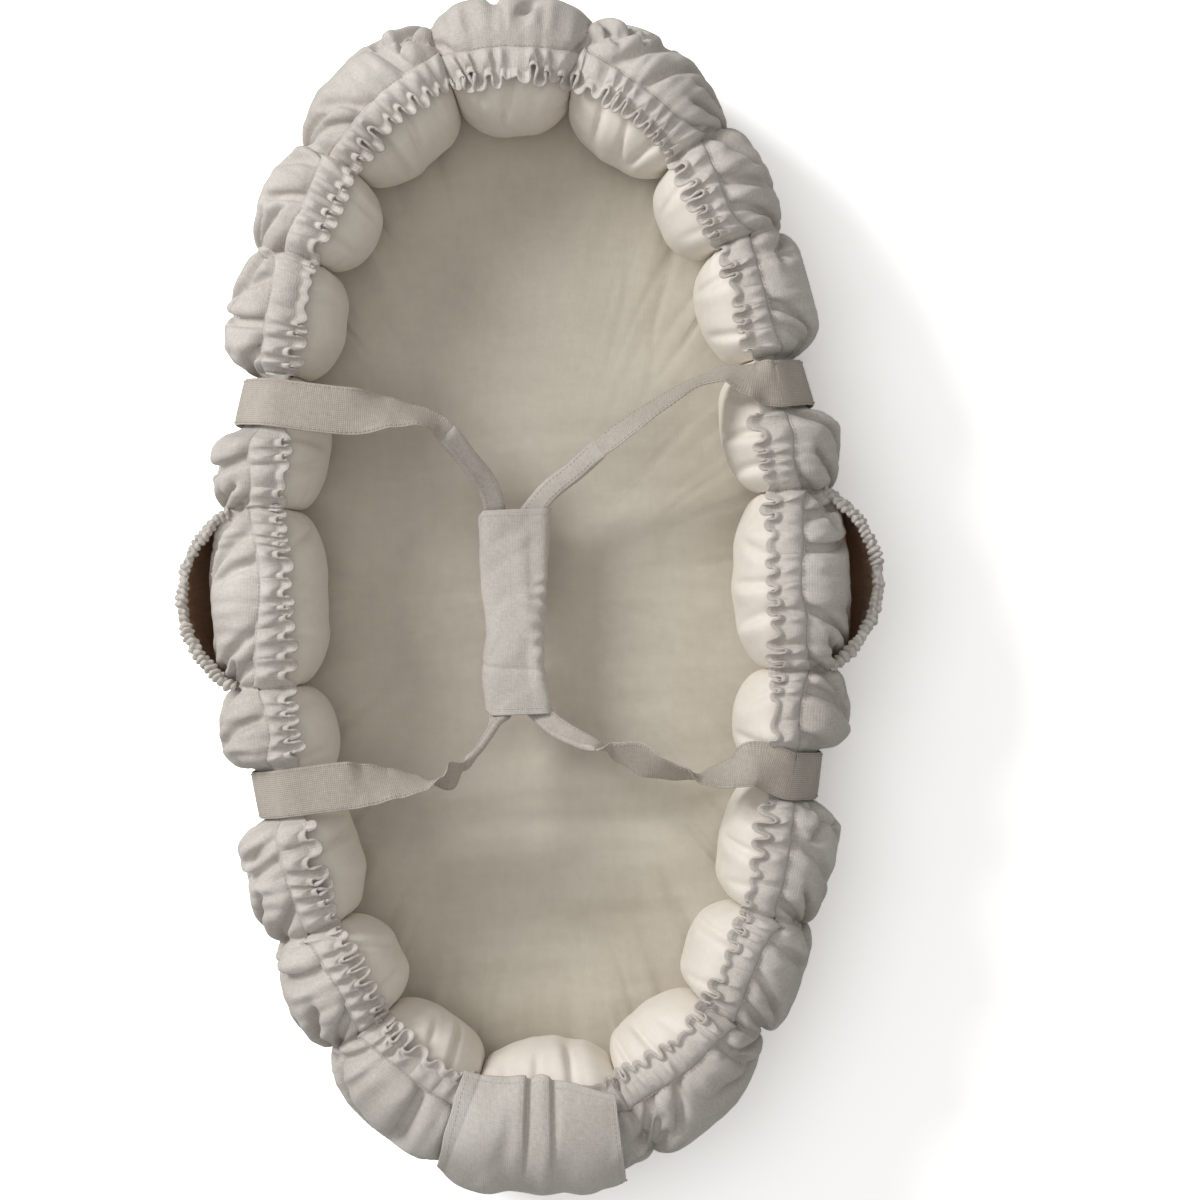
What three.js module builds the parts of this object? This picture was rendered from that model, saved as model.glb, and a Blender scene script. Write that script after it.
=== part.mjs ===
// A soft carry nest for a baby: a ring of stuffed channels in a gathered linen cover, a mattress on a
// stiff base board, two side pockets, a foot flap, and two webbing loops that meet in a wrapped grip.
// Millimetres and degrees. +X is the nest's right side, +Y the head end, +Z up. The origin is on the
// floor under the middle.
import * as THREE from 'three'

// Gaps
const clearance = 0.3
const sewnGap = 0.4
const coverGap = 0.6
const tapeRoom = 0.9

// Padded ring, over the bare channels
const ringWidth = 442
const ringLength = 842
const ringHeight = 146
const sideThickness = 76
const headThickness = 90
const footThickness = 102
const ovalPower = 2.35
const sectionPower = 2.3
const seatFlatShare = 1.12
const grooveDepth = 9
const grooveDrop = 13
const groovePower = 3.4
const tuckUnder = 13
const tuckTop = 74
const sectionSideCount = 12

// Where the grooves lie, as shares of the way from the middle of the head to the middle of the foot
const grooveShares = [0.05, 0.158, 0.236, 0.327, 0.43, 0.568, 0.649, 0.756, 0.838, 0.938]
// Stations across one channel, as shares of its length, and how far the cover's folds rise at each
const stationShares = [0, 0.1, 0.28, 0.5, 0.72, 0.9, 1]
const foldShares = [0, 0.75, 0.1, 1, 0.15, 0.85, 0]

// Linen cover
const baseThickness = 2
const linenThickness = 1.4
const foldDepth = 4
const foldStartAngle = -40
const hemReachShare = 0.26
const footHemReachShare = 0.42
const hemElasticWidth = 3

// Base board and mattress
const boardThickness = 3
const boardInset = 6
const sheetThickness = 1
const mattressHeight = 40
const mattressCrown = 5
const mattressReach = 6
const sheetLip = 22
const crownRingShares = [0.9, 0.68, 0.36, 0.12]
const crownRiseShares = [0.4, 0.75, 0.95, 1]
const ovalStepCount = 36

// Webbing anchors
const webbingWidth = 34
const webbingThickness = 1.8
const headStrapPlace = 148
const footStrapPlace = -134
const strapStartAngle = -50
const strapEndAngle = 112
const strapStepCount = 12
const strapSpanCount = 2

// Handles and strap legs
const handleWidth = 14
const handleThickness = 4.4
const handleRoom = 0.6
const handleStub = 7
const handleEdge = 1
const legStepCount = 14

// Grip
const gripLength = 147
const gripPlaceX = -14
const gripPlaceY = -9
const gripHeight = 95
const gripEndWidth = 50
const gripWaistWidth = 37
const gripEndDepth = 21
const gripWaistDepth = 17
const gripWall = 2.6
const gripPower = 2.4
const tapeThickness = 1
const tapeLength = 110
const gripStationCount = 7
const gripArcStepCount = 12
const tapeArcStepCount = 3
const flapOverlapAngle = -34
const tapeFromAngle = -28
const tapeToAngle = -4
const wrapEndAngle = 6
const flapRiseFromAngle = 62
const flapRiseToAngle = 22

// Side pockets
const pocketDepth = 19.5
const pocketWall = 1.4
const pocketBulgePower = 0.75
const pocketMouthSideAngle = 46
const pocketMouthMiddleAngle = 26
const pocketTube = 7
const pocketGather = 0.8
const pocketStationCount = 14
const pocketHemStationCount = 36
const pocketInsetShare = 0.02

// Foot flap
const footFlapWidth = 112
const footFlapShift = -11
const footFlapTopInset = 22
const footFlapBottomAngle = -6
const footFlapThickness = 1.6
const footFlapColumnCount = 12
const footFlapRowCount = 7
const footFlapWave = 2.2

// Angles round a section: 0 points outwards and upAngle straight up
const fullTurn = 360
const halfTurn = fullTurn / 2
const upAngle = fullTurn / 4
const degrees = Math.PI / halfTurn
const lerp = THREE.MathUtils.lerp
const smooth = (value, from, to) => {
  const t = THREE.MathUtils.clamp((value - from) / (to - from), 0, 1)
  return t * t * (3 - 2 * t)
}
const signedPower = (value, power) => Math.sign(value) * Math.abs(value) ** power
const evenly = (count) => Array.from({ length: count + 1 }, (_, i) => i / count)

// Derived sizes
const centreHalfWidth = (ringWidth - sideThickness) / 2
const centreHalfLength = (ringLength - (headThickness + footThickness) / 2) / 2
const skirtStack = coverGap + foldDepth + linenThickness
const flapStack = skirtStack + clearance + footFlapThickness
const ringShift = (footThickness / 2 + flapStack - headThickness / 2 - coverGap - linenThickness) / 2
const channelBottom = baseThickness + clearance
const boardTop = baseThickness + clearance + boardThickness
const sheetBottom = boardTop + clearance
const mattressTop = sheetBottom + sheetThickness + clearance + mattressHeight

// The ring's centre line, sampled so that places along it can be given as shares of its length
const lineSampleCount = 3000
const centreLine = evenly(lineSampleCount).map((share) => {
  const turn = share * Math.PI
  return new THREE.Vector2(
    centreHalfWidth * signedPower(Math.sin(turn), 2 / ovalPower),
    centreHalfLength * signedPower(Math.cos(turn), 2 / ovalPower)
  )
})
const lineLengths = [0]
for (let i = 1; i < centreLine.length; i++) {
  lineLengths.push(lineLengths[i - 1] + centreLine[i].distanceTo(centreLine[i - 1]))
}
const halfPerimeter = lineLengths[lineSampleCount]

// A way runs from 0 at the head's middle to 1 at the foot's middle on the right, and to -1 on the left
const wrapWay = (way) => (way > 1 ? way - 2 : way < -1 ? way + 2 : way)

function ringFrame(anyWay) {
  const way = wrapWay(anyWay)
  const side = way < 0 ? -1 : 1
  const goal = Math.abs(way) * halfPerimeter
  let low = 0
  let high = lineSampleCount
  while (high - low > 1) {
    const middle = (low + high) >> 1
    if (lineLengths[middle] <= goal) low = middle
    else high = middle
  }
  const part = (goal - lineLengths[low]) / (lineLengths[high] - lineLengths[low])
  const point = centreLine[low].clone().lerp(centreLine[high], THREE.MathUtils.clamp(part, 0, 1))
  const normal = new THREE.Vector2(
    (point.x / centreHalfWidth) ** (ovalPower - 1) / centreHalfWidth,
    signedPower(point.y / centreHalfLength, ovalPower - 1) / centreHalfLength
  ).normalize()
  const endThickness = normal.y > 0 ? headThickness : footThickness
  const halfWidth = lerp(sideThickness, endThickness, normal.y ** 2) / 2
  return {
    x: side * point.x,
    y: point.y + ringShift,
    normalX: side * normal.x,
    normalY: normal.y,
    halfWidth
  }
}

// The channels between the grooves: one at the head, a row down the right side, one at the foot.
// The left side mirrors the right one.
const firstGroove = grooveShares[0]
const lastGroove = grooveShares[grooveShares.length - 1]
const headChannel = { from: -firstGroove, to: firstGroove }
const footChannel = { from: lastGroove, to: 2 - lastGroove }
const sideChannels = grooveShares.slice(1).map((to, i) => ({ from: grooveShares[i], to }))
const channels = [headChannel, ...sideChannels, footChannel]

// How far along its channel a way lies, from 0 at one groove to 1 at the next
function shareInChannel(anyWay) {
  const way = Math.abs(wrapWay(anyWay))
  const { from, to } = channels.find((channel) => way <= channel.to)
  return (way - from) / (to - from)
}

function foldShareAt(anyWay) {
  const share = shareInChannel(anyWay)
  for (let i = 1; i < stationShares.length; i++) {
    if (share <= stationShares[i]) {
      const part = (share - stationShares[i - 1]) / (stationShares[i] - stationShares[i - 1])
      return lerp(foldShares[i - 1], foldShares[i], part)
    }
  }
  return 0
}

// One point of the ring's cross-section in its own plane: u outwards from the centre line, z up.
// The angle is 0 outwards, 90 up and 180 towards the mattress.
function sectionCurve(frame, pinch, angle) {
  const cos = Math.cos(angle * degrees)
  const sin = Math.sin(angle * degrees)
  const halfWidth = frame.halfWidth - pinch * grooveDepth
  const halfHeight = (ringHeight - channelBottom - pinch * grooveDrop) / 2
  let u = halfWidth * signedPower(cos, 2 / sectionPower)
  let lift = signedPower(sin, 2 / sectionPower)
  if (lift < 0) lift = Math.max(-1, lift * seatFlatShare)
  const z = channelBottom + halfHeight * (1 + lift)
  if (u < 0 && z < tuckTop) {
    u = Math.min(0, u + tuckUnder * smooth(tuckTop - z, 0, tuckTop - mattressTop))
  }
  return { u, z }
}

const pinchAt = (way) => Math.abs(2 * shareInChannel(way) - 1) ** groovePower

// A point on the ring at a way and a section angle, moved off the surface by offset and never under
// the channels' seat
function ringPoint(way, angle, offset = 0, outwards = 0, pinch = pinchAt(way)) {
  const frame = ringFrame(way)
  const at = sectionCurve(frame, pinch, angle)
  const before = sectionCurve(frame, pinch, angle - 1)
  const after = sectionCurve(frame, pinch, angle + 1)
  const along = new THREE.Vector2(after.u - before.u, after.z - before.z).normalize()
  const u = at.u + along.y * offset + outwards
  const z = Math.max(channelBottom, at.z - along.x * offset)
  return new THREE.Vector3(frame.x + frame.normalX * u, frame.y + frame.normalY * u, z)
}

// A closed solid through a row of loops with equal counts. Each end is closed across its loop, and
// round joins the last loop to the first.
function loft(loops, round = false) {
  const count = loops[0].length
  const positions = loops.flat().flatMap((point) => [point.x, point.y, point.z])
  const faces = []
  const last = round ? loops.length : loops.length - 1
  for (let k = 0; k < last; k++) {
    const here = k * count
    const next = ((k + 1) % loops.length) * count
    for (let j = 0; j < count; j++) {
      const turn = (j + 1) % count
      faces.push([here + j, here + turn, next + turn], [here + j, next + turn, next + j])
    }
  }
  if (!round) {
    const end = (loops.length - 1) * count
    for (let j = 0; j < count / 2 - 1; j++) {
      const [a, b, c, d] = [j, j + 1, count - 2 - j, count - 1 - j]
      faces.push([a, c, b], [a, d, c])
      faces.push([end + a, end + b, end + c], [end + a, end + c, end + d])
    }
  }
  return solid(positions, faces)
}

// A closed solid through oval loops, with each end drawn to a middle point
function domed(first, loops, final) {
  const count = loops[0].length
  const positions = [first, ...loops.flat(), final].flatMap((point) => [point.x, point.y, point.z])
  const finalIndex = 1 + loops.length * count
  const faces = []
  for (let j = 0; j < count; j++) {
    const turn = (j + 1) % count
    faces.push([0, 1 + turn, 1 + j])
    const end = finalIndex - count
    faces.push([finalIndex, end + j, end + turn])
    for (let k = 0; k < loops.length - 1; k++) {
      const here = 1 + k * count
      const next = here + count
      faces.push([here + j, here + turn, next + turn], [here + j, next + turn, next + j])
    }
  }
  return solid(positions, faces)
}

// A geometry whose faces point out, whichever way its loops ran
function solid(positions, faces) {
  const corner = (index) => new THREE.Vector3().fromArray(positions, 3 * index)
  const volume = faces.reduce((sum, [a, b, c]) => sum + corner(a).dot(corner(b).cross(corner(c))), 0)
  const outwards = volume > 0 ? faces : faces.map(([a, b, c]) => [a, c, b])
  const geometry = new THREE.BufferGeometry()
  geometry.setAttribute('position', new THREE.Float32BufferAttribute(positions, 3))
  geometry.setIndex(outwards.flat())
  geometry.computeVertexNormals()
  return geometry
}

const mirrored = (geometry) => {
  const positions = Array.from(geometry.attributes.position.array)
  for (let i = 0; i < positions.length; i += 3) positions[i] = -positions[i]
  const index = Array.from(geometry.index.array)
  const faces = []
  for (let i = 0; i < index.length; i += 3) faces.push([index[i], index[i + 2], index[i + 1]])
  return solid(positions, faces)
}

// Materials
const finish = (color, roughness) => new THREE.MeshStandardMaterial({ color, roughness, metalness: 0 })
const liningSateen = () => finish('#e9e4da', 0.7)
const coverLinen = () => finish('#cfc9c1', 0.92)
const sheetCotton = () => finish('#d3c9b8', 0.85)
const webbingCotton = () => finish('#cfc6ba', 0.9)
const handleLinen = () => finish('#bdb8b2', 0.9)
const foam = () => finish('#e8e2cf', 0.95)
const board = () => finish('#a98d68', 0.8)
const elastic = () => finish('#efece4', 0.75)
const tape = () => finish('#c9c3b8', 0.85)

const piece = (name, geometry, material, parent) => {
  const mesh = new THREE.Mesh(geometry, material)
  mesh.name = name
  parent.add(mesh)
  return mesh
}

// Padded ring
function channelSolid({ from, to }) {
  const gapShare = clearance / 2 / halfPerimeter
  const loops = stationShares.map((share) => {
    const way = lerp(from + gapShare, to - gapShare, share)
    return evenly(sectionSideCount).slice(0, -1).map((turn) => ringPoint(way, turn * fullTurn))
  })
  return loft(loops)
}

// Linen cover. Its folds rise from the outer side to the hem.
const hemAngleAt = (way) => {
  const { normalY } = ringFrame(way)
  const reach = normalY < 0 ? lerp(hemReachShare, footHemReachShare, normalY ** 2) : hemReachShare
  return Math.acos(-(reach ** (sectionPower / 2))) / degrees
}
const foldAt = (way, angle) => foldDepth * foldShareAt(way) * smooth(angle, foldStartAngle, upAngle)

const rightStations = []
channels.forEach(({ from, to }) => {
  stationShares.forEach((share) => {
    const way = lerp(from, to, share)
    const repeated = rightStations.some((other) => Math.abs(other - way) * halfPerimeter < sewnGap)
    if (way >= 0 && way <= 1 && !repeated) rightStations.push(way)
  })
})
rightStations.sort((a, b) => a - b)
const seamShare = sewnGap / 2 / halfPerimeter
rightStations[0] = seamShare
rightStations[rightStations.length - 1] = 1 - seamShare

const sectionStepAngle = fullTurn / sectionSideCount
const skirtStartAngle = -2 * sectionStepAngle

function skirtSolid() {
  const loops = rightStations.map((way) => {
    const angles = []
    for (let angle = skirtStartAngle; angle <= upAngle; angle += sectionStepAngle) angles.push(angle)
    angles.push(hemAngleAt(way))
    const face = (extra) =>
      angles.map((angle) => ringPoint(way, angle, coverGap + foldAt(way, angle) + extra))
    return [...face(0), ...face(linenThickness).reverse()]
  })
  return loft(loops)
}

function hemElasticSolid() {
  const right = rightStations.slice(1, -1)
  const left = right.map((way) => -way).reverse()
  const loops = [0, ...right, 1, ...left].map((way) => {
    const hemAngle = hemAngleAt(way)
    const half = hemElasticWidth / 2
    const hem = ringPoint(way, hemAngle, coverGap + half)
    const across = ringPoint(way, hemAngle + 1, coverGap + half).sub(hem).setLength(half)
    const out = ringPoint(way, hemAngle, coverGap + hemElasticWidth).sub(hem)
    const middle = hem.addScaledVector(across, (clearance + half) / half)
    return [
      middle.clone().add(out),
      middle.clone().sub(out).add(across),
      middle.clone().sub(out).sub(across)
    ]
  })
  return loft(loops, true)
}

// Flat ovals that follow the ring's inner or outer line
function ovalLoop(u, z, scale = 1) {
  return evenly(ovalStepCount)
    .slice(0, -1)
    .map((share) => {
      const frame = ringFrame(wrapWay(2 * share))
      const reach = u(frame)
      const x = (frame.x + frame.normalX * reach) * scale
      const y = (frame.y - ringShift + frame.normalY * reach) * scale + ringShift
      return new THREE.Vector3(x, y, z)
    })
}
const middlePoint = (z) => new THREE.Vector3(0, ringShift, z)

function slab(u, bottom, top) {
  return domed(middlePoint(bottom), [ovalLoop(u, bottom), ovalLoop(u, top)], middlePoint(top))
}

const footprintEdge = (frame) => {
  const low = sectionCurve(frame, 0, skirtStartAngle)
  return low.u + coverGap + linenThickness
}
const insideEdge = (inset) => (frame) => -(frame.halfWidth + inset)

const crownLoops = (edge, z) =>
  crownRingShares.map((share, i) => ovalLoop(edge, z + mattressCrown * crownRiseShares[i], share))

function mattressCoreSolid() {
  const edge = insideEdge(clearance + sheetThickness - mattressReach)
  const bottom = sheetBottom + sheetThickness + clearance
  const loops = [ovalLoop(edge, bottom), ovalLoop(edge, mattressTop), ...crownLoops(edge, mattressTop)]
  return domed(middlePoint(bottom), loops, middlePoint(mattressTop + mattressCrown))
}

function mattressCoverSolid() {
  const outerEdge = insideEdge(-mattressReach)
  const innerEdge = insideEdge(sheetThickness - mattressReach)
  const lipEdge = insideEdge(sheetLip - mattressReach)
  const under = mattressTop + clearance
  const over = under + sheetThickness
  const outside = [
    ...crownLoops(outerEdge, over).reverse(),
    ovalLoop(outerEdge, over),
    ovalLoop(outerEdge, sheetBottom)
  ]
  const lip = [ovalLoop(lipEdge, sheetBottom), ovalLoop(lipEdge, sheetBottom + sheetThickness)]
  const inside = [
    ovalLoop(innerEdge, sheetBottom + sheetThickness),
    ovalLoop(innerEdge, under),
    ...crownLoops(innerEdge, under)
  ]
  const loops = [...outside, ...lip, ...inside]
  return domed(middlePoint(over + mattressCrown), loops, middlePoint(under + mattressCrown))
}

// Webbing anchors, each from the base seam up the outer side and over the ring
function wayAtPlace(place) {
  let low = 0
  let high = 1
  while ((high - low) * halfPerimeter > clearance / 10) {
    const middle = (low + high) / 2
    if (ringFrame(middle).y > place) low = middle
    else high = middle
  }
  return low
}

// The webbing is stiff across, so it bridges the groove that it crosses
function anchorLoop(place, share) {
  const ways = evenly(strapSpanCount).map((part) => wayAtPlace(place + (0.5 - part) * webbingWidth))
  const pinch = Math.min(...ways.map(pinchAt))
  const angle = lerp(strapStartAngle, strapEndAngle, share)
  const seat = coverGap + foldDepth * smooth(angle, foldStartAngle, upAngle) + linenThickness + clearance
  const inner = ways.map((way) => ringPoint(way, angle, seat, 0, pinch))
  const outer = ways.map((way) => ringPoint(way, angle, seat + webbingThickness, 0, pinch))
  return [...inner, ...outer.reverse()]
}

const anchorSolid = (place) => loft(evenly(strapStepCount).map((share) => anchorLoop(place, share)))
const middleOf = (points) =>
  points.reduce((sum, point) => sum.add(point), new THREE.Vector3()).divideScalar(points.length)

// Strap legs. The places are shares of the way from the grip to the anchor along X, Y and Z, and the
// width goes from the handle's at 0 to the webbing's at 1.
const legShapes = {
  left_head: {
    placeShares: [[0.84, 0.97, 0.93], [0.6, 0.92, 0.72], [0.34, 0.76, 0.45], [0.2, 0.5, 0.25]],
    twistAngles: [10, 34, 28, 12],
    widthShares: [1, 1, 0.75, 0.1]
  },
  right_head: {
    placeShares: [[0.86, 1, 0.93], [0.62, 0.78, 0.75], [0.36, 0.57, 0.45], [0.16, 0.3, 0.2]],
    twistAngles: [-14, -62, -70, -30],
    widthShares: [1, 1, 0.6, 0.1]
  },
  left_foot: {
    placeShares: [[0.8, 1.02, 0.9], [0.54, 0.96, 0.68], [0.3, 0.76, 0.42], [0.1, 0.36, 0.18]],
    twistAngles: [-8, -30, -66, -40],
    widthShares: [1, 1, 0.8, 0.1]
  },
  right_foot: {
    placeShares: [[0.84, 0.98, 0.9], [0.6, 0.84, 0.66], [0.36, 0.6, 0.42], [0.14, 0.3, 0.18]],
    twistAngles: [14, 52, 60, 20],
    widthShares: [1, 0.9, 0.5, 0.1]
  }
}

const handleSpacing = gripWaistWidth - 2 * gripWall - handleWidth - 2 * handleRoom
const gripCentre = new THREE.Vector3(gripPlaceX, gripPlaceY, gripHeight)

function legSolid(side, end) {
  const place = end === 'head' ? headStrapPlace : footStrapPlace
  const sideSign = side === 'left' ? -1 : 1
  const endSign = end === 'head' ? 1 : -1
  const mirrorPoint = (point) => point.setX(sideSign * point.x)
  const anchorEnd = anchorLoop(place, 1).map(mirrorPoint)
  const anchorMiddle = middleOf(anchorEnd)
  const anchorAcross = anchorEnd[0].clone().sub(anchorEnd[strapSpanCount]).normalize()
  const gripEnd = new THREE.Vector3(
    gripCentre.x + (sideSign * handleSpacing) / 2,
    gripCentre.y + endSign * (gripLength / 2 + handleStub + clearance),
    gripCentre.z
  )
  const beforeEnd = anchorLoop(place, 1 - 1 / strapStepCount).map(mirrorPoint)
  const outOfAnchor = anchorMiddle.clone().sub(middleOf(beforeEnd)).normalize()
  const start = anchorMiddle.clone().addScaledVector(outOfAnchor, clearance)

  const shape = legShapes[`${side}_${end}`]
  const widthShares = [1, ...shape.widthShares, 0]
  const twistAngles = [0, ...shape.twistAngles, 0]
  const points = shape.placeShares.map(([x, y, z]) => new THREE.Vector3(
    lerp(gripEnd.x, start.x, x),
    lerp(gripEnd.y, start.y, y),
    lerp(gripEnd.z, start.z, z)
  ))
  const route = new THREE.CatmullRomCurve3([start, ...points, gripEnd], false, 'centripetal')
  const gripAcross = new THREE.Vector3(endSign, 0, 0)

  const loops = evenly(legStepCount).map((share) => {
    const spot = share * (points.length + 1)
    const row = Math.min(Math.floor(spot), points.length)
    const part = smooth(spot - row, 0, 1)
    const twist = lerp(twistAngles[row], twistAngles[row + 1], part) * degrees
    const widthShare = lerp(widthShares[row], widthShares[row + 1], part)
    const along = share === 0 ? outOfAnchor : route.getTangent(share)
    if (share === 1) along.set(0, -endSign, 0)
    const level = new THREE.Vector3().crossVectors(new THREE.Vector3(0, 0, 1), along).normalize()
    if (level.dot(gripAcross) < 0) level.negate()
    if (share === 0) level.copy(anchorAcross).multiplyScalar(Math.sign(anchorAcross.dot(level)))
    if (share === 1) level.copy(gripAcross)
    const across = level.clone().applyAxisAngle(along, twist)
    const up = new THREE.Vector3().crossVectors(along, across).normalize()
    if (up.z < 0 && share !== 0) up.negate()
    const halfWidth = lerp(handleWidth, webbingWidth, widthShare) / 2
    const halfThickness = lerp(handleThickness, webbingThickness, widthShare) / 2
    const centre = share === 0 ? start : route.getPoint(share)
    const corner = (a, b) => centre.clone()
      .addScaledVector(across, a * halfWidth)
      .addScaledVector(up, b * halfThickness)
    return [corner(1, 1), corner(-1, 1), corner(-1, -1), corner(1, -1)]
  })
  return loft(loops)
}

// Grip, in its own frame about its middle: Y along the grip, Z up
const gripWidthAt = (share) => lerp(gripWaistWidth, gripEndWidth, (2 * share - 1) ** 2)
const gripDepthAt = (share) => lerp(gripWaistDepth, gripEndDepth, (2 * share - 1) ** 2)

function gripPoint(share, angle, outwards) {
  const cos = Math.cos(angle * degrees)
  const sin = Math.sin(angle * degrees)
  const x = (gripWidthAt(share) / 2 + outwards) * signedPower(cos, 2 / gripPower)
  const z = (gripDepthAt(share) / 2 + outwards) * signedPower(sin, 2 / gripPower)
  return new THREE.Vector3(x, (0.5 - share) * gripLength, z)
}

// A curved panel along the grip, between two angles and two distances from the grip's outer face
function gripPanel(fromAngle, toAngle, innerAt, outerAt, arcSteps = gripArcStepCount, lengthShare = 1) {
  const shares = evenly(gripStationCount - 1).map((share) => 0.5 + (share - 0.5) * lengthShare)
  const loops = shares.map((share) => {
    const angles = evenly(arcSteps).map((part) => lerp(fromAngle, toAngle, part))
    const inner = angles.map((angle) => gripPoint(share, angle, innerAt(angle)))
    const outer = angles.map((angle) => gripPoint(share, angle, outerAt(angle)))
    return [...inner, ...outer.reverse()]
  })
  return loft(loops)
}

const loopTapeOut = clearance + tapeThickness
const hookTapeOut = loopTapeOut + clearance + tapeThickness
const flapLift = (angle) =>
  (hookTapeOut + tapeRoom + gripWall) * (1 - smooth(angle, flapRiseToAngle, flapRiseFromAngle))
const hingeGapAngle = (clearance / (gripEndDepth / 2)) / degrees

const wrapSolid = () =>
  gripPanel(halfTurn + hingeGapAngle, fullTurn + wrapEndAngle, () => -gripWall, () => 0)
const gripFlapSolid = () =>
  gripPanel(flapOverlapAngle, halfTurn, (angle) => flapLift(angle) - gripWall, flapLift)
const tapeSolid = (inner, outer) =>
  gripPanel(tapeFromAngle, tapeToAngle, () => inner, () => outer, tapeArcStepCount, tapeLength / gripLength)

function handleSolid() {
  const length = gripLength + 2 * handleStub
  const section = new THREE.Shape()
  const halfWidth = handleWidth / 2
  const halfThickness = handleThickness / 2
  section.moveTo(halfWidth - handleEdge, -halfThickness)
  section.lineTo(halfWidth, -halfThickness + handleEdge)
  section.lineTo(halfWidth, halfThickness - handleEdge)
  section.lineTo(halfWidth - handleEdge, halfThickness)
  section.lineTo(handleEdge - halfWidth, halfThickness)
  section.lineTo(-halfWidth, halfThickness - handleEdge)
  section.lineTo(-halfWidth, handleEdge - halfThickness)
  section.lineTo(handleEdge - halfWidth, -halfThickness)
  const geometry = new THREE.ExtrudeGeometry(section, { depth: length, bevelEnabled: false })
  geometry.translate(0, 0, -length / 2)
  geometry.rotateX(upAngle * degrees)
  return geometry
}

// Side pockets: a panel that stands off the outer side, with a gathered tube round its mouth
const [pocketGrooveFrom, pocketGrooveTo] = grooveShares.slice(4, 6)
const pocketFrom = lerp(pocketGrooveFrom, pocketGrooveTo, pocketInsetShare)
const pocketTo = lerp(pocketGrooveTo, pocketGrooveFrom, pocketInsetShare)
const pocketBulge = (share) => pocketDepth * Math.sin(share * Math.PI) ** pocketBulgePower
const pocketMouthAngle = (share) =>
  lerp(pocketMouthSideAngle, pocketMouthMiddleAngle, Math.sin(share * Math.PI))
const pocketSeat = skirtStack + clearance

function pocketPanelSolid() {
  const loops = evenly(pocketStationCount).map((share) => {
    const way = lerp(pocketFrom, pocketTo, share)
    const mouth = pocketMouthAngle(share)
    const drop = pocketTube / 2 - clearance
    const angles = [skirtStartAngle, -sectionStepAngle, 0, mouth / 2, mouth]
    const wall = (extra) => angles.map((angle) => {
      const rise = (angle - skirtStartAngle) / (mouth - skirtStartAngle)
      const offset = pocketSeat + lerp(0, (pocketTube - pocketWall) / 2, rise)
      const outwards = pocketBulge(share) * rise ** pocketBulgePower + extra
      const point = ringPoint(way, angle, offset, outwards)
      return point.setZ(Math.max(point.z - drop * rise, channelBottom))
    })
    return [...wall(0), ...wall(pocketWall).reverse()]
  })
  return loft(loops)
}

function pocketHemSolid() {
  const sides = 6
  const stations = evenly(pocketHemStationCount)
  const standOff = pocketSeat + pocketTube / 2 + pocketGather
  const centreAt = (share) => {
    const way = lerp(pocketFrom, pocketTo, share)
    return ringPoint(way, pocketMouthAngle(share), standOff, pocketBulge(share))
  }
  const loops = stations.map((share, k) => {
    const centre = centreAt(share)
    const ahead = centreAt(Math.min(1, share + 1 / stations.length))
    const behind = centreAt(Math.max(0, share - 1 / stations.length))
    const along = ahead.sub(behind).normalize()
    const across = new THREE.Vector3().crossVectors(along, new THREE.Vector3(0, 0, 1)).normalize()
    const up = new THREE.Vector3().crossVectors(across, along)
    const radius = (pocketTube - (k % 2) * 2 * pocketGather) / 2
    return Array.from({ length: sides }, (_, j) => {
      const turn = (j * 2 * Math.PI) / sides
      return centre.clone()
        .addScaledVector(across, radius * Math.cos(turn))
        .addScaledVector(up, radius * Math.sin(turn))
    })
  })
  return loft(loops)
}

// Foot flap, in its hinge line's frame: straight along its sewn top edge, then lying on the cover
const footHingeY = ringFrame(1).y + footFlapTopInset
const footHingeZ = ringHeight + skirtStack + clearance + footFlapThickness / 2

function footFlapSolid() {
  const waySpan = footFlapWidth / halfPerimeter
  const loops = evenly(footFlapColumnCount).map((share, k) => {
    const way = 1 - ((share - 0.5) * waySpan + footFlapShift / halfPerimeter)
    const wave = footFlapWave * (k % 2)
    const rows = evenly(footFlapRowCount)
    const face = (extra) => rows.map((down) => {
      const angle = lerp(upAngle, footFlapBottomAngle, down)
      const offset = skirtStack + clearance + wave * smooth(down, 0, 1) + extra
      return ringPoint(way, angle, offset)
    })
    const top = (extra) => {
      const x = face(0)[0].x
      return new THREE.Vector3(x, footHingeY, footHingeZ + extra - footFlapThickness / 2)
    }
    return [top(0), ...face(0), ...face(footFlapThickness).reverse(), top(footFlapThickness)]
  })
  const geometry = loft(loops)
  geometry.translate(0, -footHingeY, -footHingeZ)
  return geometry
}

// The nest
const nest = new THREE.Group()
nest.name = 'carry_nest'

const ring = new THREE.Group()
nest.add(ring)
piece('ring_channel_head', channelSolid(headChannel), liningSateen(), ring)
sideChannels.forEach((channel, i) => {
  const right = channelSolid(channel)
  piece(`ring_channel_right_${i + 1}`, right, liningSateen(), ring)
  piece(`ring_channel_left_${i + 1}`, mirrored(right), liningSateen(), ring)
})
piece('ring_channel_foot', channelSolid(footChannel), liningSateen(), ring)

const cover = new THREE.Group()
nest.add(cover)
const rightSkirt = skirtSolid()
piece('cover_right', rightSkirt, coverLinen(), cover)
piece('cover_left', mirrored(rightSkirt), coverLinen(), cover)
piece('cover_base_panel', slab(footprintEdge, 0, baseThickness), coverLinen(), cover)
piece('hem_elastic', hemElasticSolid(), elastic(), cover)

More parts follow.
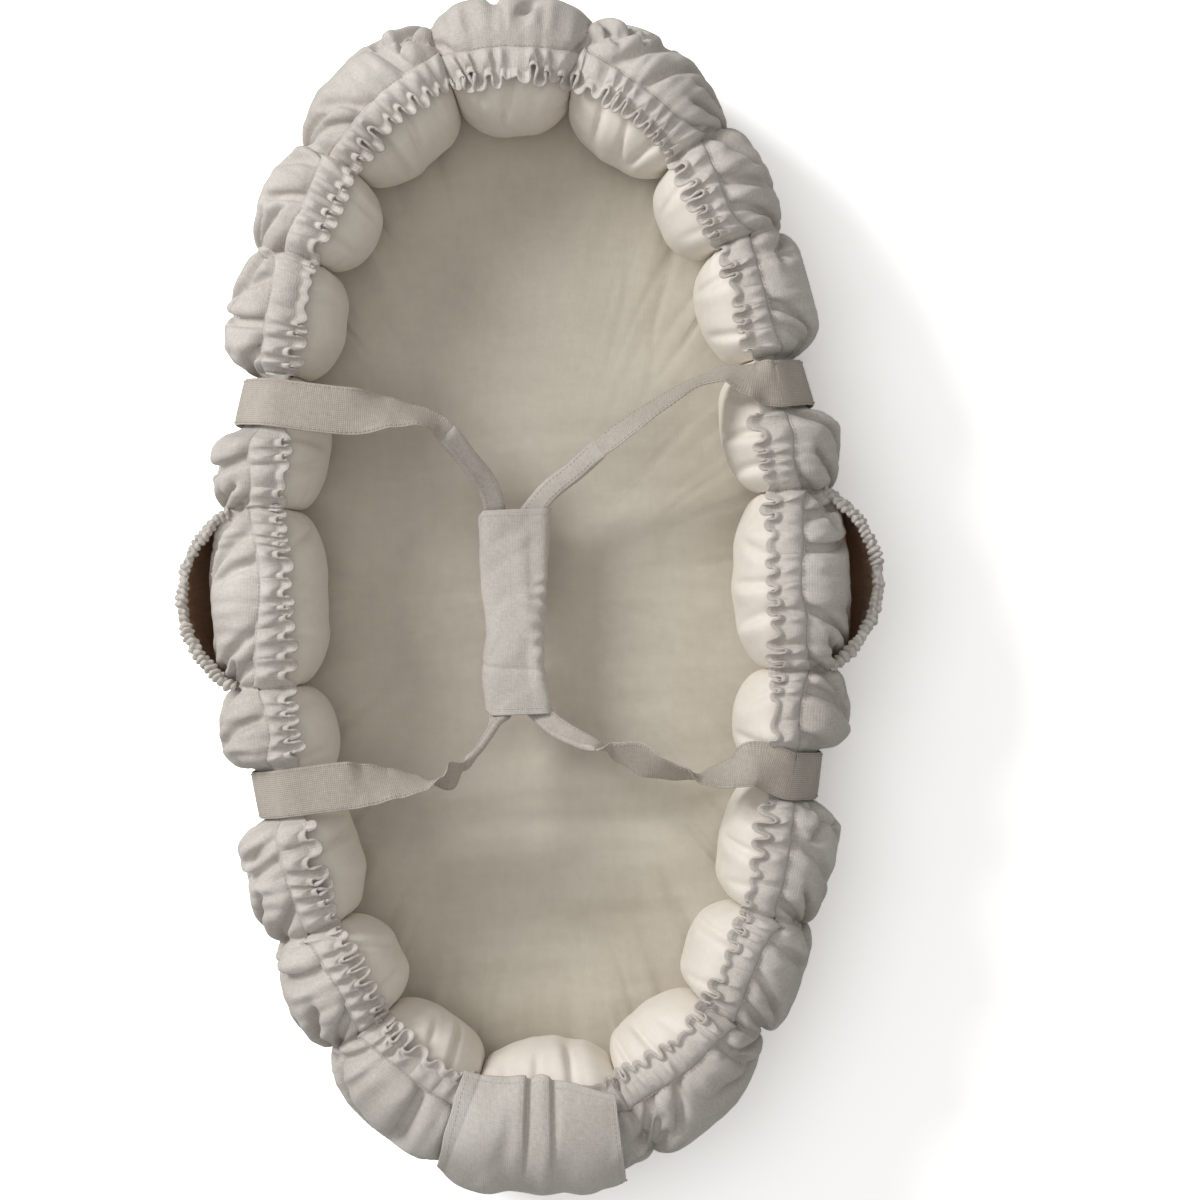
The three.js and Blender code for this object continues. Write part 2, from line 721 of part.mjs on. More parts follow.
const bed = new THREE.Group()
nest.add(bed)
piece('base_board', slab(insideEdge(boardInset), channelBottom, boardTop), board(), bed)
piece('mattress_core', mattressCoreSolid(), foam(), bed)
piece('mattress_cover', mattressCoverSolid(), sheetCotton(), bed)

const straps = new THREE.Group()
nest.add(straps)
for (const [end, place] of [['head', headStrapPlace], ['foot', footStrapPlace]]) {
  const anchor = anchorSolid(place)
  piece(`strap_anchor_right_${end}`, anchor, webbingCotton(), straps)
  piece(`strap_anchor_left_${end}`, mirrored(anchor), webbingCotton(), straps)
  piece(`strap_leg_right_${end}`, legSolid('right', end), webbingCotton(), straps)
  piece(`strap_leg_left_${end}`, legSolid('left', end), webbingCotton(), straps)
}

const grip = new THREE.Group()
grip.position.copy(gripCentre)
nest.add(grip)
for (const [side, sign] of [['left', -1], ['right', 1]]) {
  piece(`handle_${side}`, handleSolid(), handleLinen(), grip).position.x = (sign * handleSpacing) / 2
}
piece('grip_wrap', wrapSolid(), coverLinen(), grip)
piece('grip_flap', gripFlapSolid(), coverLinen(), grip)
piece('grip_loop_tape', tapeSolid(clearance, loopTapeOut), tape(), grip)
piece('grip_hook_tape', tapeSolid(loopTapeOut + clearance, hookTapeOut), tape(), grip)

const pockets = new THREE.Group()
nest.add(pockets)
const rightPanel = pocketPanelSolid()
const rightHem = pocketHemSolid()
piece('pocket_panel_right', rightPanel, coverLinen(), pockets)
piece('pocket_panel_left', mirrored(rightPanel), coverLinen(), pockets)
piece('pocket_hem_right', rightHem, coverLinen(), pockets)
piece('pocket_hem_left', mirrored(rightHem), coverLinen(), pockets)

const footFlap = piece('foot_flap', footFlapSolid(), coverLinen(), nest)
footFlap.position.set(0, footHingeY, footHingeZ)

export default nest
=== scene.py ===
# Looks of a soft carry nest for a baby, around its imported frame.
# Metres. +X is the nest's right side, +Y the head end, +Z up.
import math
import bpy
import numpy as np
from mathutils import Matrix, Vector


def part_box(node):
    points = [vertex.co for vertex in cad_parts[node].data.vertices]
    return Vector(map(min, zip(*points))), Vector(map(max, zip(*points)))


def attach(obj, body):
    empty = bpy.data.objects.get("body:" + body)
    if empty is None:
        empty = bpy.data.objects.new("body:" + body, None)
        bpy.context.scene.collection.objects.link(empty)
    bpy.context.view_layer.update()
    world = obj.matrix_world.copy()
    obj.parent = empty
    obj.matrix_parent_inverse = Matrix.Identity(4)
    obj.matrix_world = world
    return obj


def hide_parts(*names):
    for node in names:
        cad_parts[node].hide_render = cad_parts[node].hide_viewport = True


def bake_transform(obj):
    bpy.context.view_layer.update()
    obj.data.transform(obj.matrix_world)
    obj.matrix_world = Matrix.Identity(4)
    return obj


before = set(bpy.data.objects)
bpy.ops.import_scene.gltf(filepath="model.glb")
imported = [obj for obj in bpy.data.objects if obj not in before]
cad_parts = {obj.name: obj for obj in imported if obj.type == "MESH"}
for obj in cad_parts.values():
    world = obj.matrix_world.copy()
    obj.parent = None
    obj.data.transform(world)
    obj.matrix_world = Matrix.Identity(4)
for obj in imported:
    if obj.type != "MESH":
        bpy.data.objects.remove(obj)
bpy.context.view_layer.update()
print("frame loaded:", len(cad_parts), "nodes")

# Camera, straight above the nest. The nest lies turned a little to the left in the picture.
camera = dict(x=0.0494, y=-0.0024, height=2.3, turn=-2.0, viewWidth=0.868, viewPlane=0.075, sensor=36)


def addCamera():
    data = bpy.data.cameras.new("camera")
    data.sensor_width = camera["sensor"]
    data.lens = camera["sensor"] * (camera["height"] - camera["viewPlane"]) / camera["viewWidth"]
    obj = bpy.data.objects.new("camera", data)
    obj.location = (camera["x"], camera["y"], camera["height"])
    obj.rotation_euler = (0, 0, math.radians(camera["turn"]))
    bpy.context.scene.collection.objects.link(obj)
    bpy.context.scene.camera = obj


addCamera()


# Numbers
def lerp(a, b, t):
    return a + (b - a) * t


def smooth(value, start, end):
    t = np.clip((value - start) / (end - start), 0, 1)
    return t * t * (3 - 2 * t)


def unit(vector):
    return vector / np.maximum(np.linalg.norm(vector, axis=-1, keepdims=True), 1e-12)


def signedPower(value, power):
    return np.sign(value) * np.abs(value) ** power


# Value noise from -1 to 1, with one table for each seed
def softNoise(x, y, seed):
    table = np.random.default_rng(seed).random((128, 128)) * 2 - 1
    x, y = np.broadcast_arrays(np.asarray(x, float), np.asarray(y, float))
    left, low = np.floor(x).astype(int), np.floor(y).astype(int)
    a, b = x - left, y - low
    a, b = a * a * (3 - 2 * a), b * b * (3 - 2 * b)
    pick = lambda i, j: table[(left + i) % 128, (low + j) % 128]
    return lerp(lerp(pick(0, 0), pick(1, 0), a), lerp(pick(0, 1), pick(1, 1), a), b)


# The ring that every piece follows, in the frame's own sizes
ring = dict(
    width=0.442, length=0.842, height=0.146, side=0.076, head=0.090, foot=0.102, oval=2.35, section=2.3,
    seatFlat=1.12, bottom=0.0023, tuck=0.013, tuckTop=0.074, mattressTop=0.0469,
    grooves=[0.05, 0.158, 0.236, 0.327, 0.43, 0.568, 0.649, 0.756, 0.838, 0.938], grooveOut=0.015,
    grooveIn=0.026, grooveDrop=0.020, hemReach=0.26, footHemReach=0.42, samples=4001)

halfWidth = (ring["width"] - ring["side"]) / 2
halfLength = (ring["length"] - (ring["head"] + ring["foot"]) / 2) / 2
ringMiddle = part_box("ring_channel_head")[1].y - halfLength - ring["head"] / 2
lineTurns = np.linspace(0, math.pi, ring["samples"])
lineX = halfWidth * signedPower(np.sin(lineTurns), 2 / ring["oval"])
lineY = halfLength * signedPower(np.cos(lineTurns), 2 / ring["oval"])
lineLengths = np.concatenate([[0], np.cumsum(np.hypot(np.diff(lineX), np.diff(lineY)))])
halfPerimeter = lineLengths[-1]
lineShares = lineLengths / halfPerimeter


# A way runs from 0 at the head to 1 at the foot on the right, and to -1 on the left
def ringFrame(way):
    way = (np.asarray(way, float) + 1) % 2 - 1
    side = np.where(way < 0, -1.0, 1.0)
    x = np.interp(np.abs(way), lineShares, lineX)
    y = np.interp(np.abs(way), lineShares, lineY)
    nx = (np.abs(x) / halfWidth) ** (ring["oval"] - 1) / halfWidth
    ny = signedPower(y / halfLength, ring["oval"] - 1) / halfLength
    size = np.hypot(nx, ny)
    nx, ny = nx / size, ny / size
    end = np.where(ny > 0, ring["head"], ring["foot"])
    return dict(x=x * side, y=y + ringMiddle, nx=nx * side, ny=ny,
                half=lerp(ring["side"], end, ny ** 2) / 2)


channelEdges = np.array([-ring["grooves"][0], *ring["grooves"], 2 - ring["grooves"][-1]])
strap = dict(width=0.034, thickness=0.0018, headPlace=0.144, footPlace=-0.130, startAngle=-50, endAngle=112,
             dent=0.016, dentEdge=0.017, leaveRow=75, tab=0.0013, tabAngle=27, stitchInset=0.0019)


# Which channel a way lies in, how far along it, and the channel's length in metres
def inChannel(way):
    way = np.abs((np.asarray(way, float) + 1) % 2 - 1)
    index = np.clip(np.searchsorted(channelEdges, way, side="right") - 1, 0, len(channelEdges) - 2)
    start, end = channelEdges[index], channelEdges[index + 1]
    return index, (way - start) / (end - start), (end - start) * halfPerimeter


# How tightly a groove draws the ring in: 1 in the groove, 0 in the middle of a channel
def pinchAt(way):
    return pinchOf(inChannel(way)[1])


def pinchOf(share):
    return 1 - np.sqrt(np.maximum(0, 1 - np.clip(np.abs(2 * share - 1), 0, 1) ** 2.3))


# How far a tight strap presses into the ring's outer side and top
def dentAt(way, angle):
    y = ringFrame(way)["y"]
    half = strap["width"] / 2
    near = sum(1 - smooth(np.abs(y - strap[place]), half - 0.004, half + strap["dentEdge"])
               for place in ("headPlace", "footPlace"))
    around = smooth(angle, -75, -30) * (1 - smooth(angle, 55, 105))
    return strap["dent"] * near * around


# 1 under a strap and 0 clear of it
def underStrap(way):
    y, half = ringFrame(way)["y"], strap["width"] / 2
    return sum(1 - smooth(np.abs(y - strap[place]), half, half + 0.006)
               for place in ("headPlace", "footPlace"))


# u runs outwards from the ring's centre line; the angle is 0 outwards, 90 up, 180 towards the mattress
def section(way, angle, pinch):
    at = ringFrame(way)
    turn = np.radians(angle)
    inner = 0.5 - 0.5 * np.cos(turn)
    half = at["half"] - pinch * lerp(ring["grooveOut"], ring["grooveIn"], inner)
    tall = (ring["height"] - ring["bottom"] - pinch * ring["grooveDrop"]) / 2
    u = half * signedPower(np.cos(turn), 2 / ring["section"])
    lift = signedPower(np.sin(turn), 2 / ring["section"])
    lift = np.where(lift < 0, np.maximum(-1, lift * ring["seatFlat"]), lift)
    z = ring["bottom"] + tall * (1 + lift)
    tucked = ring["tuck"] * smooth(ring["tuckTop"] - z, 0, ring["tuckTop"] - ring["mattressTop"])
    return np.where((u < 0) & (z < ring["tuckTop"]), np.minimum(0, u + tucked), u), z


def ringPoint(way, angle, offset=0, outwards=0, pinch=None, dent=1):
    pinch = pinchAt(way) if pinch is None else pinch
    at = ringFrame(way)
    u, z = section(way, angle, pinch)
    beforeU, beforeZ = section(way, angle - 1.5, pinch)
    afterU, afterZ = section(way, angle + 1.5, pinch)
    du, dz = afterU - beforeU, afterZ - beforeZ
    size = np.maximum(np.hypot(du, dz), 1e-9)
    offset = offset - dent * dentAt(way, angle)
    u = u + dz / size * offset + outwards
    z = np.maximum(ring["bottom"], z - du / size * offset)
    return np.stack(np.broadcast_arrays(at["x"] + at["nx"] * u, at["y"] + at["ny"] * u, z), -1)


# Meshes
def gridFaces(rows, columns, closed=False):
    across = columns if closed else columns - 1
    row = np.arange(rows - 1)[:, None] * columns
    here = np.arange(across)[None, :]
    there = (here + 1) % columns
    faces = np.stack([row + here, row + there, row + columns + there, row + columns + here], -1)
    return faces.reshape(-1, 4)


def makePiece(name, points, faces, material, uv=None, caps=()):
    mesh = bpy.data.meshes.new(name)
    allFaces = [tuple(f) for f in np.asarray(faces).tolist()] + [tuple(c) for c in caps]
    mesh.from_pydata(np.asarray(points, float).reshape(-1, 3).tolist(), [], allFaces)
    for one in material if isinstance(material, (list, tuple)) else [material]:
        mesh.materials.append(one)
    if uv is not None:
        corners = np.empty(len(mesh.loops), np.int32)
        mesh.loops.foreach_get("vertex_index", corners)
        layer = mesh.uv_layers.new(name="cloth")
        layer.data.foreach_set("uv", np.asarray(uv, np.float32).reshape(-1, 2)[corners].ravel())
    mesh.polygons.foreach_set("use_smooth", np.ones(len(mesh.polygons), bool))
    mesh.update()
    obj = bpy.data.objects.new(name, mesh)
    bpy.context.scene.collection.objects.link(obj)
    return obj


def gridPiece(name, grid, material, uv=None, closed=False, flip=False):
    rows, columns = grid.shape[:2]
    faces = gridFaces(rows, columns, closed)
    return makePiece(name, grid, faces[:, ::-1] if flip else faces, material, uv)


# A closed body through equal loops, with a flat face at each end
def loopPiece(name, loops, material, uv=None, flip=False):
    rows, columns = loops.shape[:2]
    faces = gridFaces(rows, columns, closed=True)
    caps = [list(range(columns))[::-1], list(range((rows - 1) * columns, rows * columns))]
    if flip:
        faces, caps = faces[:, ::-1], [c[::-1] for c in caps]
    return makePiece(name, loops, faces, material, uv, caps)


def normalsOf(grid):
    return unit(np.cross(np.gradient(grid, axis=0), np.gradient(grid, axis=1)))


# Distances along a line of points
def lengthsAlong(points):
    return np.concatenate([[0], np.cumsum(np.linalg.norm(np.diff(points, axis=0), axis=-1))])


# The smooth curve's value between the second and third of four neighbours
def curveBetween(p0, p1, p2, p3, t):
    square, cube = 2 * p0 - 5 * p1 + 4 * p2 - p3, 3 * p1 - p0 - 3 * p2 + p3
    return 0.5 * (2 * p1 + (p2 - p0) * t + square * t ** 2 + cube * t ** 3)


# Materials
def linear(code):
    parts = [int(code[i:i + 2], 16) / 255 for i in (1, 3, 5)]
    return tuple(c / 12.92 if c <= 0.04045 else ((c + 0.055) / 1.055) ** 2.4 for c in parts) + (1,)


def addNode(tree, kind, inputs=None, **settings):
    node = tree.nodes.new(kind)
    for key, value in settings.items():
        setattr(node, key, value)
    for key, value in (inputs or {}).items():
        if isinstance(value, bpy.types.NodeSocket):
            tree.links.new(value, node.inputs[key])
        else:
            node.inputs[key].default_value = value
    return node


# Blender's wave texture repeats every pi / 10 of its input
def waveScale(pitch):
    return math.pi / 10 / pitch


def newMaterial(name):
    material = bpy.data.materials.new(name)
    material.use_nodes = True
    tree = material.node_tree
    tree.nodes.clear()
    out = addNode(tree, "ShaderNodeOutputMaterial")
    shader = addNode(tree, "ShaderNodeBsdfPrincipled")
    tree.links.new(shader.outputs["BSDF"], out.inputs["Surface"])
    return material, tree, shader


# A plain-woven cloth. Threads cross at the pitch, thick and thin stretches of yarn of about the slub's size
# run both ways, and the dye takes a little unevenly. Mottle is how soft the blotches are, depth the
# threads' height.
def wovenCloth(name, colours, pitch, slub, roughness, sheen, depth, mottle, weaveDark):
    material, tree, shader = newMaterial(name)
    place = addNode(tree, "ShaderNodeUVMap", uv_map="cloth").outputs["UV"]
    uneven = {"Distortion": 1.2, "Detail": 1.0, "Detail Scale": 0.6}
    threads = [addNode(tree, "ShaderNodeTexWave", {"Vector": place, "Scale": waveScale(pitch), **uneven},
                       bands_direction=direction).outputs["Fac"] for direction in ("X", "Y")]
    weave = addNode(tree, "ShaderNodeMath", {0: threads[0], 1: threads[1]}, operation="MULTIPLY").outputs[0]
    yarns = []
    for stretch in ((1, 0.4, 1), (0.4, 1, 1)):
        along = addNode(tree, "ShaderNodeMapping", {"Vector": place, "Scale": stretch}).outputs["Vector"]
        yarns.append(addNode(tree, "ShaderNodeTexNoise", {"Vector": along, "Scale": 1 / slub, "Detail": 3.0,
                     "Roughness": 0.6}).outputs["Fac"])
    yarn = addNode(tree, "ShaderNodeMath", {0: yarns[0], 1: yarns[1]}, operation="ADD").outputs[0]
    half = addNode(tree, "ShaderNodeMath", {0: yarn, 1: 0.5}, operation="MULTIPLY").outputs[0]
    patches = addNode(tree, "ShaderNodeTexNoise",
                      {"Vector": place, "Scale": 14.0, "Detail": 4.0}).outputs["Fac"]
    blend = addNode(tree, "ShaderNodeMath", {0: half, 1: patches}, operation="ADD").outputs[0]
    spread = addNode(tree, "ShaderNodeMapRange", {"Value": blend, "From Min": 1 - mottle / 2,
                     "From Max": 1 + mottle / 2}).outputs["Result"]
    base = addNode(tree, "ShaderNodeMix",
                   {"Factor": spread, "A": linear(colours[0]), "B": linear(colours[1])},
                   data_type="RGBA")
    gaps = addNode(tree, "ShaderNodeMapRange",
                   {"Value": weave, "To Min": 1 - weaveDark, "To Max": 1.0}).outputs["Result"]
    dark = addNode(tree, "ShaderNodeMix", {"Factor": 1.0, "A": base.outputs["Result"], "B": gaps},
                   data_type="RGBA", blend_type="MULTIPLY")
    tree.links.new(dark.outputs["Result"], shader.inputs["Base Color"])
    height = addNode(tree, "ShaderNodeMath", {0: half, 1: 1.4, 2: weave},
                     operation="MULTIPLY_ADD").outputs[0]
    bump = addNode(tree, "ShaderNodeBump", {"Height": height, "Strength": 0.55, "Distance": depth})
    tree.links.new(bump.outputs["Normal"], shader.inputs["Normal"])
    shader.inputs["Roughness"].default_value = roughness
    shader.inputs["Sheen Weight"].default_value = sheen
    shader.inputs["Sheen Roughness"].default_value = 0.45
    shader.inputs["Specular IOR Level"].default_value = 0.25
    return material


# Washed linen, plain woven from uneven flax yarn and melange dyed: a chalky greige with fine dark and pale
# flecks. Its threads are 0.6 mm apart, which is too fine for the picture, so they are drawn at 1.3 mm.
washedLinen = wovenCloth("washedLinen", ("#bfb8b0", "#e1dcd5"), pitch=0.0013, slub=0.0016, roughness=0.92,
                         sheen=0.12, depth=0.0004, mottle=0.55, weaveDark=0.16)
# The same linen where it faces the straps, in the greyer shade of its selvedge
handleLinen = wovenCloth("handleLinen", ("#b6afa6", "#dad4cc"), pitch=0.0012, slub=0.0020, roughness=0.92,
                         sheen=0.12, depth=0.0004, mottle=0.6, weaveDark=0.2)
# Cotton sateen, mercerised: a smooth cream face with a soft gleam along the folds
sateenCotton = wovenCloth("sateenCotton", ("#e3dcd1", "#eee8de"), pitch=0.0009, slub=0.0050, roughness=0.58,
                          sheen=0.10, depth=0.00012, mottle=0.6, weaveDark=0.03)
# Cotton percale of the mattress cover: matt, warm and even
percaleCotton = wovenCloth("percaleCotton", ("#c0b8aa", "#ccc5b7"), pitch=0.0011, slub=0.0060,
                           roughness=0.8, sheen=0.08, depth=0.00014, mottle=0.6, weaveDark=0.04)
# Cotton webbing, tightly woven from thick yarn: a clear grid of threads 1.4 mm apart
webbingCotton = wovenCloth("webbingCotton", ("#bdb3a6", "#dad1c6"), pitch=0.0014, slub=0.0024,
                           roughness=0.9, sheen=0.1, depth=0.0007, mottle=0.55, weaveDark=0.34)
# Painted shade: a light warm brown twill inside the side pockets, which renders as the warm brown shade
# deep in them
pocketShadeBrown = wovenCloth("pocketShadeBrown", ("#dea878", "#f2c292"), pitch=0.0012, slub=0.0030, roughness=0.9,
                        sheen=0.2, depth=0.0004, mottle=0.6, weaveDark=0.2)
# Polyester sewing thread, a tone under the linen
sewingThread = wovenCloth("sewingThread", ("#b3aba1", "#cbc4ba"), pitch=0.0004, slub=0.0010, roughness=0.6,
                          sheen=0.05, depth=0.00005, mottle=0.5, weaveDark=0.1)
# Polyurethane foam, cut block: pale cream with open cells
cutFoam = wovenCloth("cutFoam", ("#ded7bf", "#ece7d4"), pitch=0.0016, slub=0.0016, roughness=0.95,
                     sheen=0.0, depth=0.0006, mottle=0.6, weaveDark=0.1)
# Hardboard, pressed from wood fibre: warm brown with long pale flecks
pressedHardboard = wovenCloth("pressedHardboard", ("#8c6f4d", "#a98d68"), pitch=0.004, slub=0.0080,
                              roughness=0.7, sheen=0.0, depth=0.0001, mottle=0.6, weaveDark=0.05)
# Knitted elastic, off white and ribbed
knittedElastic = wovenCloth("knittedElastic", ("#e3dfd5", "#f1eee6"), pitch=0.0010, slub=0.0020,
                            roughness=0.75, sheen=0.05, depth=0.0004, mottle=0.5, weaveDark=0.2)
# Nylon hook and loop tape, tiny bristles that read as a grey pile
nylonTape = wovenCloth("nylonTape", ("#b3ada2", "#cdc7bd"), pitch=0.0015, slub=0.0012, roughness=0.9,
                       sheen=0.2, depth=0.0010, mottle=0.6, weaveDark=0.3)
print("materials made")


# Padded ring
lobe = dict(stations=61, sides=100, pucker=0.0014, puckerPitch=0.0095, puckerReach=0.016, drag=0.0018,
            dragPitch=0.017, dragReach=0.05, broad=0.001, inset=0.0004, crease=0.0030, creaseWidth=0.0032,
            radius=0.055)


def lobeDisplacement(angle, share, length, seed):
    toSeam = np.minimum(share, 1 - share) * length
    arc = np.radians(angle) * lobe["radius"]
    fine = softNoise(arc / lobe["puckerPitch"], toSeam / 0.03 + 10 * (share > 0.5), seed)
    long = softNoise(share * length / lobe["dragPitch"], arc / lobe["dragReach"], seed + 1)
    wide = softNoise(share * length / 0.045, arc / 0.05, seed + 2)
    top = smooth(angle, 40, 110)
    rng = np.random.default_rng(seed + 3)
    folds = 0
    for place in np.linspace(0.25, 0.75, max(2, round(length / 0.035))) + rng.uniform(-0.08, 0.08):
        slant, depth = rng.normal(0, 0.0016), rng.uniform(0.35, 1)
        far = (share - place) * length - slant * (angle - 115) / 10
        reach = smooth(angle, 70, 95) * (1 - smooth(angle, 105 + 45 * depth, 135 + 45 * depth))
        lip = 0.5 * np.exp(-((far - 0.008) / (2.2 * lobe["creaseWidth"])) ** 2)
        folds = folds - depth * reach * (np.exp(-(far / lobe["creaseWidth"]) ** 2) - lip)
    longer = 1 + 0.5 * smooth(length, 0.08, 0.10)
    return (lobe["crease"] * folds * longer + lobe["pucker"] * fine * np.exp(-toSeam / lobe["puckerReach"])
            + lobe["drag"] * long * top * smooth(toSeam, 0, 0.012) + lobe["broad"] * wide - lobe["inset"])


def addLobe(name, start, end, seed):
    share = np.linspace(0, 1, lobe["stations"])
    share = 0.5 - 0.5 * np.cos(share * math.pi) * (0.7 + 0.3 * np.abs(np.cos(share * math.pi)))
    inset = 0.00015 / halfPerimeter
    way = lerp(start + inset, end - inset, share)[:, None]
    angle = np.linspace(0, 360, lobe["sides"] + 1)[None, :-1]
    centred = np.where(angle > 180, angle - 360, angle)
    rise = lobeDisplacement(centred, share[:, None], abs(end - start) * halfPerimeter, seed)
    pinch = pinchOf(share[:, None])
    points = ringPoint(way, centred, rise, pinch=pinch)
    uv = np.stack(np.broadcast_arrays(np.radians(angle) * lobe["radius"], way * halfPerimeter), -1)
    obj = loopPiece(name, points, sateenCotton, uv, flip=start < 0 and end <= 0)
    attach(obj, "root")
    return obj


grooves = ring["grooves"]
spans = {"head": (-grooves[0], grooves[0]), "foot": (grooves[-1], 2 - grooves[-1])}
for i in range(len(grooves) - 1):
    spans[f"right_{i + 1}"] = (grooves[i], grooves[i + 1])
    spans[f"left_{i + 1}"] = (-grooves[i + 1], -grooves[i])
for number, (place, (start, end)) in enumerate(spans.items()):
    obj = addLobe(f"lobe_{place}", start, end, 100 + 7 * number)
    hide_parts(f"ring_channel_{place}")
print("ring made:", len(spans), "lobes")


# Linen cover: from the base over the outer side to a gathered casing on top of the ring. Its slack is let
# out by a cloth simulation over the lobes. The casing's frill and the sharpest creases are laid in.
flapReach = {1: 0.050, -1: 0.060}
cover = dict(
    startAngle=-62, pitch=0.0026, rowPitch=0.0033, slack=1.36, slackDown=1.06, casing=0.0175, gap=0.0022,
    pinch=0.92, foldRise=0.0034, fold=0.3, broad=0.5, broadPitch=0.029, broader=0.9, broaderPitch=0.056,
    topRise=0.012, sideRise=0.0045, frames=26, refine=2, stiffness=45, bending=0.45, pressure=0.7,
    distance=0.0012, stitchRise=0.0042, stitchWave=0.0010, stitchSway=0.0034, flatWidth=1.43,
    flatHeight=0.19, seamClear=0.014, highest=0.02, bunch=(0.0042, 0.0065), bunchPitch=(0.045, 0.11),
    nearStitch=0.0062)
crease = dict(every=0.031, clear=0.0004, reach=(0.035, 0.11), fan=0.5, lean=0.48, turn=0.24, bend=3.0,
              width=0.0060, line=0.0026, depth=0.0056, lip=0.0026, lipSide=0.0056, perGroove=3,
              grooveStart=0.014, grooveStep=0.015, grooveTurn=(0.5, 1.2), grooveReach=(0.035, 0.06))
frill = dict(step=0.0005, rows=20, pitch=0.0112, reach=0.0042, fold=0.0016, lean=0.0046, rise=0.0046,
             riseWave=0.0016, puff=0.0036, wave=0.0015, ballPitch=0.021, valley=0.80, wander=0.0028,
             turnRadius=0.0009)


# Valleys that the pulled cloth keeps: a few from the stitch line outwards, and short ones slanting across
# each groove
def makeCreases(side):
    rng = np.random.default_rng(31 if side > 0 else 47)
    made = []
    for start, end in zip(channelEdges[:-1], channelEdges[1:]):
        start, length = start * halfPerimeter, (end - start) * halfPerimeter
        count = max(2, round(length / crease["every"] + rng.uniform(-0.4, 0.4)))
        for k in range(count):
            share = (k + 0.5 + rng.uniform(-0.33, 0.33)) / count
            made.append((start + share * length, 0, rng.uniform(*crease["reach"]),
                         crease["lean"] + (share - 0.5) * crease["fan"] + rng.normal(0, crease["turn"]),
                         rng.normal(0, crease["bend"]), rng.uniform(0.5, 1)))
        lean = rng.choice([-1, 1, 1])
        for k in range(crease["perGroove"]):
            first = crease["grooveStart"] + crease["grooveStep"] * (k + rng.uniform(-0.25, 0.25))
            reach = rng.uniform(*crease["grooveReach"])
            turn = lean * rng.uniform(*crease["grooveTurn"])
            made.append((start - turn * reach * rng.uniform(0.3, 0.7), first, first + reach, turn,
                         rng.normal(0, crease["bend"]), rng.uniform(0.7, 1)))
    return made


# 1 at the bottom of a crease, or that far beside it, and 0 clear of it
def creaseAt(s, out, creases, width, beside=0):
    deep = np.zeros(np.broadcast(s, out).shape)
    for origin, first, last, turn, bend, depth in creases:
        down = out - first
        far = (s - origin - turn * down - bend * down ** 2) / math.hypot(1, turn) + beside
        ends = smooth(down, -0.006, 0.006) if first > 0 else 1
        fade = 1 - smooth(out, lerp(first, last, 0.6), last)
        deep = np.maximum(deep, depth * np.exp(-(far / width) ** 2) * ends * fade)
    return deep


def hemAngleAt(way):
    ny = ringFrame(way)["ny"]
    reach = np.where(ny < 0, lerp(ring["hemReach"], ring["footHemReach"], ny ** 2), ring["hemReach"])
    return np.degrees(np.arccos(-reach ** (ring["section"] / 2)))


# Angles at even distances down the section: 0 at the stitch line, 1 at the foot, and -1 at the hem's edge
def coverAngles(way, rowsAt, sway=None):
    hem = hemAngleAt(way)
    pinch = cover["pinch"] * pinchAt(way)
    share = np.linspace(0, 1, 160)
    angle, v = np.empty((len(rowsAt), len(way))), np.empty((len(rowsAt), len(way)))
    for k in range(len(way)):
        fine = lerp(cover["startAngle"], hem[k], share)
        u, z = section(way[k], fine, pinch[k])
        length = np.concatenate([[0], np.cumsum(np.hypot(np.diff(u), np.diff(z)))])
        free = length[-1] - cover["casing"]
        v[:, k] = np.where(rowsAt >= 0, rowsAt * free, rowsAt * cover["casing"])
        along = v[:, k]
        if sway is not None:
            along = along + sway[k] * (1 - smooth(np.abs(v[:, k]), 0, cover["casing"]))
        angle[:, k] = np.interp(free - along, length, fine)
    return angle, v


def coverSurface(side, way, angle, rise):
    return ringPoint(side * way, angle, cover["gap"] + rise, pinch=cover["pinch"] * pinchAt(way))


# Folds of about one pitch, never quite alike
def foldWave(s, pitch, seed):
    turn = 2 * math.pi * s / pitch + 3.0 * softNoise(s / (2.6 * pitch), 0.5, seed)
    turn = turn + softNoise(s / pitch, 3.5, seed + 1)
    return np.sin(turn) * (0.75 + 0.45 * softNoise(s / (1.3 * pitch), 7.5, seed + 2))


# The gathers at each place along the hem: their phase and strength, how far the cloth is bunched along the
# elastic, how far it is free of the seams, and how free of the straps
def gathersAt(side, s):
    seed = 500 if side > 0 else 600
    fromSeam = np.minimum(s, halfPerimeter - s)
    calm = smooth(fromSeam, 0, 0.009)
    phase = 2 * math.pi * s / frill["pitch"] + 5.2 * softNoise(s / 0.036, 0.5, seed + 10)
    phase = phase + 1.7 * softNoise(s / 0.013, 3.5, seed + 11)
    strength = np.clip(0.86 + 0.95 * softNoise(s / 0.015, 7.5, seed + 12), 0.2, 1.45) * calm
    bunch = sum(size * softNoise(s / long, 1.5, seed + 50 + n) for n, (size, long) in
                enumerate(zip(cover["bunch"], cover["bunchPitch"]))) * smooth(fromSeam, 0, 0.03)
    pressed = np.maximum(0.9 * underStrap(side * s / halfPerimeter), 0.65 * underFlap(side, s))
    return phase, strength, bunch, calm, 1 - pressed


# 1 where the foot flap lies over the hem
def underFlap(side, s):
    reach = flapReach[side]
    return smooth(s, halfPerimeter - reach - 0.004, halfPerimeter - reach + 0.004)


# The stitch line wanders a little across the cloth
def stitchSway(side, s):
    return cover["stitchSway"] * (softNoise(s / 0.05, 21.5, 700 + side)
                                  + 0.5 * softNoise(s / 0.018, 23.5, 700 + side))


def stitchRiseAt(phase, strength):
    return cover["stitchRise"] + cover["stitchWave"] * (1 + 0.6 * strength * np.sin(phase))


